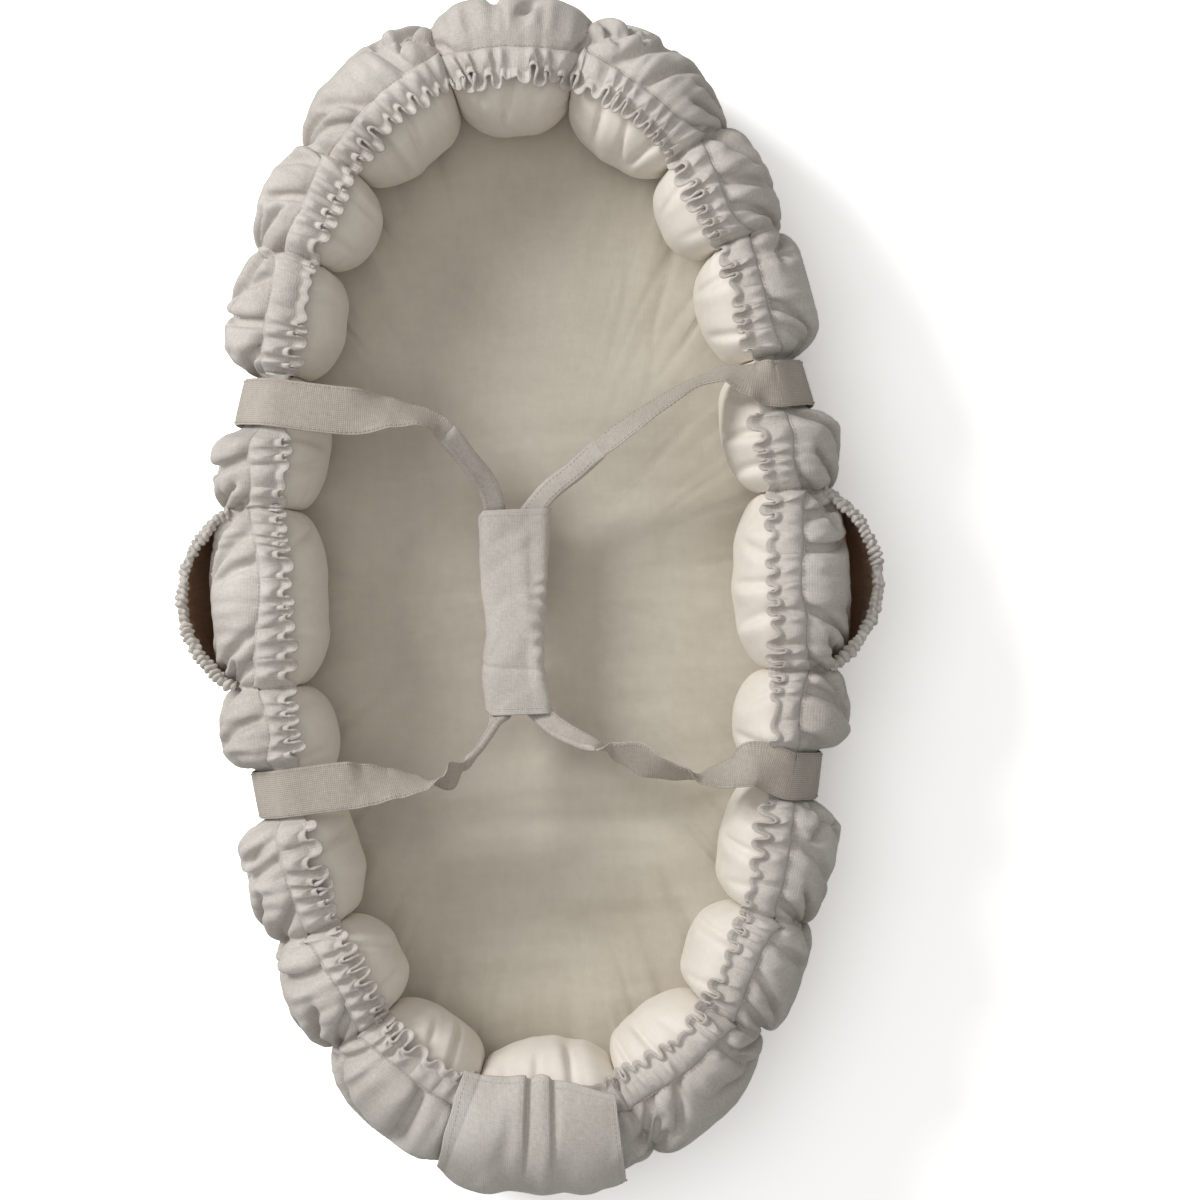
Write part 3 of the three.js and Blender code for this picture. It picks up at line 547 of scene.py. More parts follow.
# Lets a cloth of a given flat shape settle on a collider and returns where it comes to rest
def runCloth(name, grid, flat, pins, collider, frames):
    rows, columns = grid.shape[:2]
    obj = makePiece(name, grid, gridFaces(rows, columns), sateenCotton)
    obj.shape_key_add(name="Basis")
    key = obj.shape_key_add(name="flat")
    key.data.foreach_set("co", np.asarray(flat, np.float32).ravel())
    group = obj.vertex_groups.new(name="pins")
    weights = np.round(pins.ravel(), 2)
    for value in np.unique(weights):
        if value > 0:
            group.add(np.nonzero(weights == value)[0].tolist(), float(value), "REPLACE")
    collider.modifiers.new("touch", "COLLISION")
    collider.collision.thickness_outer = 0.001
    collider.collision.cloth_friction = 4
    cloth = obj.modifiers.new("cloth", "CLOTH")
    settings = cloth.settings
    settings.quality = 6
    settings.mass = 0.05
    settings.air_damping = 3
    settings.tension_stiffness = settings.compression_stiffness = cover["stiffness"]
    settings.shear_stiffness = cover["stiffness"] * 0.4
    settings.bending_stiffness = cover["bending"]
    settings.tension_damping = settings.compression_damping = 8
    settings.bending_damping = 0.8
    settings.rest_shape_key = key
    settings.vertex_group_mass = "pins"
    settings.pin_stiffness = 1
    settings.use_pressure = True
    settings.uniform_pressure_force = cover["pressure"]
    settings.effector_weights.gravity = 0
    cloth.collision_settings.use_collision = True
    cloth.collision_settings.collision_quality = 2
    cloth.collision_settings.distance_min = cover["distance"]
    cloth.point_cache.frame_start, cloth.point_cache.frame_end = 1, frames
    scene = bpy.context.scene
    scene.frame_start, scene.frame_end = 1, frames
    for number in range(1, frames + 1):
        scene.frame_set(number)
    settled = obj.evaluated_get(bpy.context.evaluated_depsgraph_get()).data
    points = np.empty(len(settled.vertices) * 3, np.float32)
    settled.vertices.foreach_get("co", points)
    scene.frame_set(1)
    bpy.data.objects.remove(obj)
    collider.modifiers.clear()
    return points.reshape(grid.shape).astype(float)


def soften(grid, amount, times):
    for _ in range(times):
        middle = (grid[:-2, 1:-1] + grid[2:, 1:-1] + grid[1:-1, :-2] + grid[1:-1, 2:]) / 4
        grid = grid.copy()
        grid[1:-1, 1:-1] = lerp(grid[1:-1, 1:-1], middle, amount)
    return grid


# Puts more rows or columns into a grid along smooth curves
def refine(grid, times, axis):
    grid = np.moveaxis(grid, axis, 0)
    ends = np.concatenate([2 * grid[:1] - grid[1:2], grid, 2 * grid[-1:] - grid[-2:-1]])
    at = np.linspace(0, len(grid) - 1, (len(grid) - 1) * times + 1)
    k = np.minimum(at.astype(int), len(grid) - 2)
    t = (at - k).reshape(-1, *[1] * (grid.ndim - 1))
    p0, p1, p2, p3 = (ends[k + i] for i in range(4))
    return np.moveaxis(curveBetween(p0, p1, p2, p3, t), 0, axis)


# 0 at the seams where the two halves of the cover meet, 1 a little way from them
def clearOfSeams(s):
    return smooth(np.minimum(s, halfPerimeter - s), 0, cover["seamClear"])


# How firmly the cloth is held while it settles, where 1 is fixed: in the grooves, under the straps and the
# flap, and along the creases
held = dict(groove=0.85, pressed=0.7, crease=0.75)


# The cover below its stitch line, let out by the simulation
def coverBody(side):
    seed = 500 if side > 0 else 600
    columns = int(halfPerimeter * cover["slack"] / cover["pitch"])
    way = np.linspace(0, 1, columns)
    rows = int(coverAngles(way[::40], np.array([1.0]))[1].mean() / cover["rowPitch"])
    angle, v = coverAngles(way, np.linspace(0, 1, rows), stitchSway(side, way * halfPerimeter))
    s = (way * halfPerimeter)[None, :]
    loose = smooth(v[-1:] - v, 0, 0.03)
    phase, strength, bunch, calm, free = gathersAt(side, s)
    broad = foldWave(s, cover["broadPitch"], seed + 20)
    broader = foldWave(s, cover["broaderPitch"], seed + 30)
    high = cover["broad"] * broad * smooth(v, 0, 0.02) * np.exp(-v / 0.05)
    low = cover["broader"] * broader * smooth(v, 0.015, 0.05)
    ripple = cover["fold"] * strength * np.sin(phase) * np.exp(-v / 0.016) + calm * (high + low)
    creases = makeCreases(side)
    valley = creaseAt(s, v, creases, crease["width"]) * clearOfSeams(s)
    rise = stitchRiseAt(phase, strength) + cover["foldRise"] * smooth(v, 0, 0.008) * (1.4 + ripple)
    rise = rise * loose * (1 - 0.95 * valley)
    slide = bunch * (1 - smooth(v, 0, 0.11)) / halfPerimeter
    points = coverSurface(side, way[None, :] + slide, angle, rise * free)
    share, length = inChannel(way)[1:]
    toGroove = (np.minimum(share, 1 - share) * length)[None, :]
    pins = np.where(toGroove < 0.0016, held["groove"], 0) * smooth(v, 0.004, 0.03)
    pins = np.maximum(pins, np.where(free < 0.4, held["pressed"], 0))
    pins = np.maximum(pins, np.where((valley > 0.6) & (v > 0), held["crease"], 0))
    pins[0] = pins[-2:] = 1
    pins[:, :2] = pins[:, -2:] = 1
    flat = np.stack(np.broadcast_arrays(s * cover["slack"] + 0 * v, v * cover["slackDown"], 0 * v), -1)
    still = coverSurface(side, way[None, :], angle, 0)
    above = normalsOf(still) * -side
    points = runCloth("cover_cloth", points, flat, pins, padding, cover["frames"])
    moved = points - still
    height = (moved * above).sum(-1)
    ceiling = lerp(cover["nearStitch"], cover["highest"], smooth(v, 0, 0.032))
    moved = moved - above * (0.85 * np.maximum(0, height - ceiling))[..., None]
    far = np.linalg.norm(moved, axis=-1, keepdims=True)
    most = lerp(cover["sideRise"], cover["topRise"], smooth(angle, 5, 60))[..., None]
    shorter = (most + (far - most) * 0.3) / np.maximum(far, 1e-9)
    points = still + moved * np.where(far > most, shorter, 1)
    points = soften(points, 0.2, 1)
    height = ((points - still) * above).sum(-1)
    times = cover["refine"]
    points = refine(refine(points, times, 1), times, 0)
    v = refine(refine(v, times, 1), times, 0)
    height = refine(refine(height, times, 1), times, 0)
    s = np.linspace(0, 1, points.shape[1])[None, :] * halfPerimeter
    free = 1 - underStrap(side * s / halfPerimeter)
    sharp = creaseAt(s, v, creases, crease["line"])
    lips = creaseAt(s, v, creases, crease["line"] * 1.7, crease["lipSide"]) * (1 - sharp)
    where = free * clearOfSeams(s) * smooth(v, 0, 0.005) * smooth(v[-1:] - v, 0, 0.03)
    dip = (crease["lip"] * lips - crease["depth"] * sharp) * where
    dip = np.maximum(dip, np.minimum(0, crease["clear"] - height))
    uv = np.stack(np.broadcast_arrays(s * cover["slack"], v), -1)
    return points + normalsOf(points) * -side * dip[..., None], uv


# The casing round the elastic: puffed between stitch line and edge, its rolled edge standing up in loops
def coverFrill(side):
    seed = 500 if side > 0 else 600
    s = np.linspace(0, 1, int(halfPerimeter / frill["step"]))[None, :] * halfPerimeter
    way = s[0] / halfPerimeter
    into = np.concatenate([[-0.12, -0.04], np.linspace(0, 1, frill["rows"]) ** 0.85])
    angle, v = coverAngles(way, np.where(into < 0, 0.008 * (into < -0.1), -into), stitchSway(side, s[0]))
    into = np.clip(into, 0, 1)[:, None]
    under = np.zeros(len(into))
    under[:2] = [0.0016, 0.0010]
    phase, strength, bunch, calm, free = gathersAt(side, s)
    swell = np.abs(np.sin(math.pi * s / frill["ballPitch"] + 2.2 * softNoise(s / 0.04, 5.5, seed + 70)))
    ball = 0.4 + 0.8 * swell ** 0.6
    puff = np.sin(math.pi * np.clip(into / frill["valley"], 0, 1)) ** 0.75
    edge = frill["rise"] * (0.85 + 0.3 * strength)
    edge = edge + frill["riseWave"] * softNoise(s / 0.011, 9.5, seed + 71)
    rise = stitchRiseAt(phase, strength) - under[:, None] + frill["puff"] * ball * puff * calm
    rise = rise + frill["wave"] * strength * np.sin(phase) * np.sin(math.pi * into)
    rise = rise + edge * smooth(into, frill["valley"] - 0.06, 1)
    perDegree = cover["casing"] / np.abs(angle[-1] - angle[2]).mean()
    looped = np.clip(0.75 + 0.8 * softNoise(s / 0.028, 17.5, seed + 7), 0.25, 1.2)
    pull = frill["reach"] * strength * np.sin(phase) * into ** 1.5
    pull = pull + frill["wander"] * softNoise(s / 0.05, 11.5, seed + 5) * into * calm
    slide = bunch + (frill["lean"] * softNoise(s / 0.021, 13.5, seed + 6) * calm
                     - frill["fold"] * looped * np.sin(2 * phase) * strength) * into ** 1.5 * free
    points = coverSurface(side, way[None, :] + slide / halfPerimeter, angle - pull * free / perDegree,
                          rise * free)
    normal = normalsOf(points[::-1])[::-1] * -side
    inwards = unit(points[-1] - points[-2])
    radius = frill["turnRadius"]
    turned = [points[-1] + inwards * radius * math.sin(turn) + normal[-1] * radius * (math.cos(turn) - 1)
              for turn in np.radians([30, 60, 90, 120, 150, 180])]
    turned += [points[-3] - normal[-3] * 2 * radius, points[-6] - normal[-6] * 2 * radius]
    down = np.concatenate([v, v[-1:] - 0.0012 * np.arange(1, len(turned) + 1)[:, None]])
    points = np.concatenate([points, np.array(turned)])[::-1]
    return points, np.stack(np.broadcast_arrays(s * cover["slack"], down[::-1]), -1)


def addCover(side):
    word = "right" if side > 0 else "left"
    body, bodyUv = coverBody(side)
    hem, hemUv = coverFrill(side)
    faces = np.concatenate([gridFaces(*hem.shape[:2]), gridFaces(*body.shape[:2]) + hem[..., 0].size])
    points = np.concatenate([hem.reshape(-1, 3), body.reshape(-1, 3)])
    uv = np.concatenate([hemUv.reshape(-1, 2), bodyUv.reshape(-1, 2)])
    obj = makePiece(f"cover_{word}_linen", points, faces[:, ::-1] if side < 0 else faces, washedLinen, uv)
    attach(obj, "root")
    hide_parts(f"cover_{word}")


# Rows of stitches along lines: short rounded threads, sunk into the cloth at their ends. Up points out of
# it.
stitch = dict(long=0.0021, gap=0.0011, thick=0.00045)


def addStitches(name, lines):
    long, thick = stitch["long"], stitch["thick"]
    parts, faces, uv, made = [], [], [], 0
    turn = np.linspace(0, 2 * math.pi, 6, endpoint=False)
    cosines, sines = np.cos(turn)[None, :, None], np.sin(turn)[None, :, None]
    shares = np.array([0, 0.12, 0.5, 0.88, 1])
    full = np.array([0.25, 0.85, 1, 0.85, 0.25]) * thick / 2
    sink = np.array([-0.9, 0.1, 0.45, 0.1, -0.9]) * thick
    for line, up in lines:
        length = lengthsAlong(line)
        count = max(1, int(length[-1] / (long + stitch["gap"])))
        for begin in (np.arange(count) + 0.5) * (length[-1] / count) - long / 2:
            where = begin + shares * long
            centres = np.stack([np.interp(where, length, line[:, k]) for k in range(3)], -1)
            lift = unit(np.stack([np.interp(where, length, up[:, k]) for k in range(3)], -1))
            across = unit(np.cross(unit(centres[-1:] - centres[:1]), lift))
            aroundIt = cosines * across[:, None] + sines * lift[:, None]
            loops = centres[:, None] + lift[:, None] * sink[:, None, None] + full[:, None, None] * aroundIt
            parts.append(loops.reshape(-1, 3))
            faces.append(gridFaces(5, 6, closed=True) + 30 * made)
            place = np.broadcast_arrays(turn[None, :] * thick / 2, where[:, None])
            uv.append(np.stack(place, -1).reshape(-1, 2))
            made += 1
    return makePiece(name, np.concatenate(parts), np.concatenate(faces), sewingThread, np.concatenate(uv))


def addHemStitches(side):
    word = "right" if side > 0 else "left"
    s = np.linspace(0.002, halfPerimeter - 0.002, 1800)
    way = s / halfPerimeter
    angle = coverAngles(way, np.array([0.004]), stitchSway(side, s))[0][0]
    phase, strength, bunch, _, free = gathersAt(side, s)
    low = stitchRiseAt(phase, strength) + cover["foldRise"] * 0.2
    line = coverSurface(side, way + bunch / halfPerimeter, angle, (low + 0.0003) * free)
    above = coverSurface(side, way + bunch / halfPerimeter, angle, (low + 0.0023) * free)
    obj = addStitches(f"hem_stitches_{word}", [(line, above - line)])
    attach(obj, "root")


# A lighter copy of the stuffed ring for the cloth to lie on
def addPadding():
    parts, faces, count = [], [], 0
    for start, end in spans.values():
        share = (0.5 - 0.5 * np.cos(np.linspace(0, math.pi, 22)))[:, None]
        angle = np.linspace(-90, 200, 50)[None, :]
        grid = ringPoint(lerp(start, end, share), angle, 0, pinch=pinchOf(share))
        faces.append(gridFaces(22, 50) + count)
        parts.append(grid.reshape(-1, 3))
        count += len(parts[-1])
    return makePiece("padding", np.concatenate(parts), np.concatenate(faces), sateenCotton)


def addElastic():
    way = np.linspace(0, 2, 720, endpoint=False)
    foot = np.where(way > 1, 2 - way, way)
    angle = coverAngles(foot, np.array([-0.35]))[0][0]
    centres = coverSurface(1, way, angle, -0.0006)
    along = unit(np.roll(centres, -1, 0) - np.roll(centres, 1, 0))
    up = unit(coverSurface(1, way, angle, 0.002) - centres)
    across = np.cross(along, up)
    turn = np.linspace(0, 2 * math.pi, 12, endpoint=False)[:, None, None]
    rings = centres + across * 0.0025 * signedPower(np.cos(turn), 0.5)
    rings = rings + up * 0.0005 * signedPower(np.sin(turn), 0.5)
    grid = np.concatenate([rings.transpose(1, 0, 2), rings.transpose(1, 0, 2)[:1]])
    along = np.linspace(0, 1.9, len(grid))[:, None]
    uv = np.stack(np.broadcast_arrays(0.0005 * np.arange(12)[None, :], along), -1)
    obj = makePiece("hem_elastic_ribbon", grid, gridFaces(len(grid), 12, closed=True), knittedElastic, uv)
    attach(obj, "root")
    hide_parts("hem_elastic")


padding = addPadding()
for side in (1, -1):
    addCover(side)
    addHemStitches(side)
bpy.data.objects.remove(padding)
addElastic()
print("cover made")


# Base panel and mattress. Loops follow the ring's outer or inner line.
bed = dict(groove=0.0235, crown=0.006, columns=480, reach=0.0105, wrinkle=0.0028, wrinklePitch=0.020,
           creaseRise=0.0034, creasePitch=0.027, sheetTop=0.0482, edgeRound=0.006, deepest=0.0052,
           sides=(0.03, 0.012, 0.0062))


middle = np.array([0, ringMiddle])


# A line round the nest, at a given distance from the ring's centre line
def ovalLine(reach, count):
    way = np.linspace(0, 2, count, endpoint=False)
    at = ringFrame(way)
    u = reach(at)
    return np.stack([at["x"] + at["nx"] * u, at["y"] + at["ny"] * u], -1), way


# A level loop of points from a line
def atHeight(line, z):
    return np.concatenate([line, np.full((len(line), 1), z)], -1)


# The bed's crown, from the middle at share 0 to the edge at 1
def crownAt(share):
    return bed["crown"] * (1 - share[:, None] ** 2.6)


def addMattress():
    line, way = ovalLine(lambda at: bed["reach"] - at["half"], bed["columns"])
    at = ringFrame(way)
    into = np.stack([at["nx"], at["ny"]], -1) * (bed["groove"] * pinchAt(way))[:, None]
    share = np.concatenate([np.linspace(0.004, 0.7, 70), np.linspace(0.71, 1, 50)])
    grid = middle + (line - middle)[None, :, :] * share[:, None, None]
    grid = grid + into * smooth(share, 0.8, 1)[:, None, None]
    line = line + into
    x, y = grid[..., 0], grid[..., 1]
    outwards = (line - middle)[None, :, :] * (1 - share)[:, None, None]
    toEdge = np.linalg.norm(outwards, axis=-1)
    s = (way * halfPerimeter)[None, :]
    pull = softNoise(s / bed["wrinklePitch"], toEdge / 0.09, 801)
    pull = pull + 0.35 * softNoise(s / 0.009, toEdge / 0.05, 802)
    pull = pull - 1.1 * np.exp(-(softNoise(s / 0.024, toEdge / 0.12, 805) / 0.16) ** 2) + 0.5
    sides = np.abs(ringFrame(way)["nx"])[None, :]
    plain = bed["sheetTop"] + crownAt(share)
    z = plain + bed["wrinkle"] * pull * np.exp(-toEdge / 0.040) * (0.3 + 0.7 * sides)
    bands = softNoise(x / 0.13 + 3, y / bed["creasePitch"], 803) + 0.3 * softNoise(x / 0.07, y / 0.011, 804)
    z = z + bed["creaseRise"] * bands * (1 - smooth(y, -0.05, 0.25) * 0.7) * smooth(toEdge, 0, 0.03)
    z = np.maximum(z, plain - bed["deepest"])
    drop = []
    for turn in np.radians([20, 45, 70, 90]):
        out = line + unit(line - middle) * bed["edgeRound"] * 0.3 * math.sin(turn)
        drop.append(np.concatenate([out, (z[-1] - bed["edgeRound"] * (1 - math.cos(turn)))[:, None]], -1))
    drop += [atHeight(out, height) for height in bed["sides"]]
    drop.append(atHeight(middle + (line - middle) * 0.9, bed["sides"][-1]))
    loops = np.concatenate([np.stack([x, y, z], -1), np.array(drop)])
    faces = gridFaces(len(loops), bed["columns"], closed=True)
    caps = [list(range(bed["columns"]))]
    obj = makePiece("mattress_cover_sheet", loops, faces[:, ::-1], percaleCotton, loops[..., :2], caps)
    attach(obj, "root")
    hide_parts("mattress_cover")


# The foam block inside the cover, crowned like it
def addFoam():
    line = ovalLine(lambda at: bed["reach"] - 0.004 - at["half"], 240)[0]
    share = np.linspace(0.03, 1, 30)
    top = middle + (line - middle)[None, :, :] * share[:, None, None]
    rough = 0.0002 * softNoise(top[..., 0] / 0.012, top[..., 1] / 0.012, 821)
    z = bed["sheetTop"] - bed["deepest"] - 0.0009 + crownAt(share) + rough
    rows = [np.concatenate([top, z[..., None]], -1)]
    for inset, height in ((0.0004, 0.0405), (0.0004, 0.009), (0.002, 0.0072), (0.03, 0.0072)):
        rows.append(atHeight(line - unit(line - middle) * inset, height)[None])
    loops = np.concatenate(rows)
    obj = loopPiece("mattress_foam", loops, cutFoam, loops[..., :2], flip=True)
    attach(obj, "root")
    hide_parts("mattress_core")


addMattress()
addFoam()


# The cover's underside: a flat oval of linen with soft edges, sewn to the cover's foot
def addBasePanel():
    wall, edge, lap = 0.002, 0.0008, 0.002
    foot = section(0.5, cover["startAngle"], 0)[0] - ringFrame(0.5)["half"]
    line = ovalLine(lambda at: at["half"] + foot + lap, 360)[0]
    outwards = unit(line - middle)
    loops = np.array([atHeight(line - outwards * inset, z) for inset, z in (
        (0.03, 0), (edge, 0), (0, edge), (0, wall - edge), (edge, wall), (0.03, wall))])
    obj = loopPiece("base_panel", loops, washedLinen, loops[..., :2])
    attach(obj, "root")
    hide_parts("cover_base_panel")


addBasePanel()
print("bed made")


# Webbing straps
def wayAt(place):
    share = np.linspace(0, 1, ring["samples"])
    return np.interp(-place, -(ringFrame(share)["y"]), share)


def bandSection(width, thickness, count=28):
    turn = np.linspace(0, 2 * math.pi, count, endpoint=False)
    across, up = signedPower(np.cos(turn), 0.35) * width / 2, signedPower(np.sin(turn), 0.8) * thickness / 2
    return np.stack([across, up], -1)


# Loops of a band along its centres, with its across and up directions
def bandLoops(centres, across, up, widths, thicknesses, count=28):
    loops = []
    for k in range(len(centres)):
        shape = bandSection(widths[k], thicknesses[k], count)
        loops.append(centres[k] + shape[:, :1] * across[k] + shape[:, 1:] * up[k])
    return np.array(loops)


def bandUv(centres, widths, count=28):
    across = bandSection(1, 0.001, count)[:, 0][None, :] * np.asarray(widths)[:, None]
    return np.stack(np.broadcast_arrays(across, lengthsAlong(centres)[:, None]), -1)


def anchorRow(place, share, lift):
    half = strap["width"] / 2
    ways = np.array([wayAt(place + half), wayAt(place), wayAt(place - half)])
    pinch = 0.5 * pinchAt(ways)
    angle = lerp(strap["startAngle"], strap["endAngle"], share)
    seat = 0.003 + 0.004 * smooth(angle, -40, 90)
    return ringPoint(ways, angle, seat + lift, pinch=pinch, dent=0.9)


def anchorBand(side, end):
    place = strap[f"{end}Place"]
    mirror = np.array([side, 1, 1])
    shares = np.linspace(0, 1, 90)
    rows = np.array([anchorRow(place, share, strap["thickness"] / 2) for share in shares]) * mirror
    centres = (rows[:, 0] + rows[:, 2] + 2 * rows[:, 1]) / 4
    across = unit(rows[:, 0] - rows[:, 2])
    along = unit(np.gradient(centres, axis=0))
    across = unit(across - along * (across * along).sum(-1, keepdims=True))
    up = unit(np.cross(across, along)) * side
    return centres, across, up


# The half widths run from the head end to the foot end.
grip = dict(x=-0.014, y=-0.009, z=0.095, length=0.147,
            leftHalf=(0.0222, 0.0222, 0.0205, 0.0190, 0.0232, 0.0212),
            rightHalf=(0.0272, 0.0246, 0.0222, 0.0192, 0.0192, 0.0228), endDepth=0.021, waistDepth=0.017,
            wall=0.0016, power=2.4, handleWidth=0.014, handleThickness=0.0044, stub=0.007, spacing=0.0166,
            spread=(0.0, 0.0055), strip=0.0007, clear=0.0002, sleeveWall=0.0006, stitchInset=0.0022,
            underWidth=0.05, flapWidth=0.062, tapeAngles=(-28, -4), tapeShares=(0.125, 0.875),
            foldStart=(-0.0330, -0.009, 0.0955), foldEnd=(-0.0270, -0.009, 0.1030))


# The handles run side by side through the grip. The right one leaves it a little further out.
def handleX(side, share):
    spread = grip["spread"][1 if side > 0 else 0] * smooth(np.abs(share), 0.55, 1)
    return grip["x"] + side * (grip["spacing"] / 2 + spread)


# Each free leg from the ring to the grip: x, y, z, how far it is turned over in degrees, and its width from
# 1 for the webbing to 0 for the handle. seam says where the linen handle begins.
legShapes = {
    ("left", "head"): dict(seam=4, stations=[
        (-0.124, 0.136, 0.150, -5, 1), (-0.093, 0.1345, 0.142, -48, 1), (-0.0747, 0.132, 0.136, -62, 0.85),
        (-0.063, 0.127, 0.131, -55, 0.45), (-0.0545, 0.1186, 0.127, -25, 0.1),
        (-0.0394, 0.0987, 0.117, -12, 0),
        (-0.0275, 0.081, 0.106, -6, 0)]),
    ("right", "head"): dict(seam=5, stations=[
        (0.161, 0.148, 0.152, -40, 1), (0.144, 0.1535, 0.148, -66, 1), (0.125, 0.149, 0.141, -77, 1),
        (0.0965, 0.134, 0.132, -70, 0.9), (0.073, 0.119, 0.125, -58, 0.6), (0.053, 0.105, 0.119, -30, 0.05),
        (0.035, 0.0905, 0.111, -16, 0), (0.016, 0.077, 0.102, -6, 0)]),
    ("left", "foot"): dict(seam=6, stations=[
        (-0.133, -0.126, 0.151, -8, 1), (-0.118, -0.126, 0.146, -32, 1), (-0.100, -0.126, 0.141, -54, 1),
        (-0.082, -0.1265, 0.136, -72, 1), (-0.070, -0.1255, 0.133, -98, 1),
        (-0.060, -0.1225, 0.129, -130, 0.8),
        (-0.0505, -0.116, 0.124, -104, 0.15), (-0.040, -0.1045, 0.114, -84, 0),
        (-0.030, -0.090, 0.103, -78, 0)]),
    ("right", "foot"): dict(seam=7, stations=[
        (0.1535, -0.1205, 0.152, -22, 1), (0.137, -0.126, 0.148, -56, 1), (0.120, -0.128, 0.143, -72, 1),
        (0.108, -0.1265, 0.140, -105, 1), (0.092, -0.123, 0.136, -116, 1),
        (0.0737, -0.1155, 0.130, -137, 0.9),
        (0.0563, -0.1105, 0.123, -128, 0.45), (0.045, -0.1072, 0.119, -75, 0.05),
        (0.033, -0.102, 0.112, -46, 0),
        (0.015, -0.092, 0.102, -22, 0)])}


# An even curve through points, which comes from the point before
def curveThrough(points, samples, before):
    points = np.asarray(points, float)
    ends = np.concatenate([[before], points, [2 * points[-1] - points[-2]]])
    knots = np.concatenate([[0], np.cumsum(np.linalg.norm(np.diff(ends, axis=0), axis=-1) ** 0.5)])
    out = []
    for t in np.linspace(0, len(points) - 1, samples):
        k = min(int(t), len(points) - 2)
        p, n = ends[k:k + 4], knots[k:k + 4]
        at = lerp(n[1], n[2], t - k)
        a1 = p[0] + (p[1] - p[0]) * (at - n[0]) / (n[1] - n[0])
        a2 = p[1] + (p[2] - p[1]) * (at - n[1]) / (n[2] - n[1])
        a3 = p[2] + (p[3] - p[2]) * (at - n[2]) / (n[3] - n[2])
        b1 = a1 + (a2 - a1) * (at - n[0]) / (n[2] - n[0])
        b2 = a2 + (a3 - a2) * (at - n[1]) / (n[3] - n[1])
        out.append(b1 + (b2 - b1) * (at - n[1]) / (n[2] - n[1]))
    return np.array(out)


def addStrap(word, end):
    side = 1 if word == "right" else -1
    endSign = 1 if end == "head" else -1
    shape = legShapes[(word, end)]
    stations = np.array(shape["stations"])
    centresIn, acrossIn, upIn = anchorBand(side, end)
    leave = strap["leaveRow"]
    gripEnd = np.array([handleX(side, 1.0), grip["y"] + endSign * (grip["length"] / 2 - 0.005), grip["z"]])
    samples = 170
    centres = curveThrough([centresIn[leave], *stations[:, :3], gripEnd], samples,
                           before=centresIn[leave - 12])
    along = unit(np.gradient(centres, axis=0))
    turns, shares = [0, *stations[:, 3], 0], [1, *stations[:, 4], 0]
    t = np.linspace(0, len(turns) - 1, samples)
    row = np.minimum(t.astype(int), len(turns) - 2)
    part = smooth(t - row, 0, 1)
    twist = np.radians(lerp(np.take(turns, row), np.take(turns, row + 1), part))[:, None]
    widths = lerp(grip["handleWidth"], strap["width"],
                  lerp(np.take(shares, row), np.take(shares, row + 1), part))
    thick = np.where(t < shape["seam"] + 1, strap["thickness"], grip["handleThickness"])
    level = unit(np.cross([0, 0, 1.0], along))
    level = level * (1 if level[0] @ acrossIn[leave] > 0 else -1)
    upLevel = unit(np.cross(level, along))
    upLevel = upLevel * np.sign(upLevel[:, 2:])
    across = level * np.cos(twist) + upLevel * np.sin(twist)
    settle = smooth(t, 0, 1)[:, None]
    across = unit(lerp(acrossIn[leave][None, :], across, settle))
    across = unit(across - along * (across * along).sum(-1, keepdims=True))
    up = upLevel * np.cos(twist) - level * np.sin(twist)
    up = unit(up - along * (up * along).sum(-1, keepdims=True))
    up = unit(up - across * (up * across).sum(-1, keepdims=True))
    upIn = upIn * (1 if upIn[leave] @ up[0] > 0 else -1)
    seam = int((shape["seam"] + 1) / (len(turns) - 1) * (samples - 1))
    last = seam + 6
    angles = lerp(strap["startAngle"], strap["endAngle"], np.linspace(0, 1, 90))[:leave]
    tab = strap["tab"] * (1 - smooth(angles, strap["tabAngle"] - 1.2, strap["tabAngle"] + 1.2))
    allCentres = np.concatenate([centresIn[:leave] + upIn[:leave] * tab[:, None] / 2, centres[:last]])
    allAcross = np.concatenate([acrossIn[:leave], across[:last]])
    allUp = np.concatenate([upIn[:leave], up[:last]])
    allWidths = np.concatenate([np.full(leave, strap["width"]), widths[:last]])
    allThick = np.concatenate([strap["thickness"] + tab, np.full(last, strap["thickness"])])
    flip = np.dot(np.cross(allAcross[5], allUp[5]), unit(allCentres[6] - allCentres[5])) > 0
    loops = bandLoops(allCentres, allAcross, allUp, allWidths, allThick)
    webbing = loopPiece(f"strap_{word}_{end}_webbing", loops, webbingCotton, bandUv(allCentres, allWidths),
                        flip=flip)
    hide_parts(f"strap_anchor_{word}_{end}", f"strap_leg_{word}_{end}")
    sleeve = slice(seam, samples)
    ends = 0.45 + 0.55 * smooth(np.arange(samples - seam), 0, 4)
    loops = bandLoops(centres[sleeve], across[sleeve], up[sleeve], widths[sleeve] + 0.0014,
                      (thick[sleeve] + 2 * grip["sleeveWall"]) * ends)
    uv = bandUv(centres[sleeve], widths[sleeve])
    handle = loopPiece(f"strap_{word}_{end}_handle", loops, handleLinen, uv, flip=flip)
    lines = []
    for edge in (-1, 1):
        for face in (-1, 1):
            beside = edge * (allWidths[:, None] / 2 - strap["stitchInset"])
            at = allCentres + allAcross * beside + face * allUp * allThick[:, None] / 2
            lines.append((at[26:leave + seam - 4], face * allUp[26:leave + seam - 4]))
            beside = edge * (widths[:, None] / 2 - grip["stitchInset"])
            at = centres + across * beside + face * up * (thick[:, None] / 2 + grip["sleeveWall"])
            lines.append((at[seam + 5:], face * up[seam + 5:]))
    stitches = addStitches(f"strap_{word}_{end}_stitches", lines)
    for obj in (webbing, handle, stitches):
        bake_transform(obj)


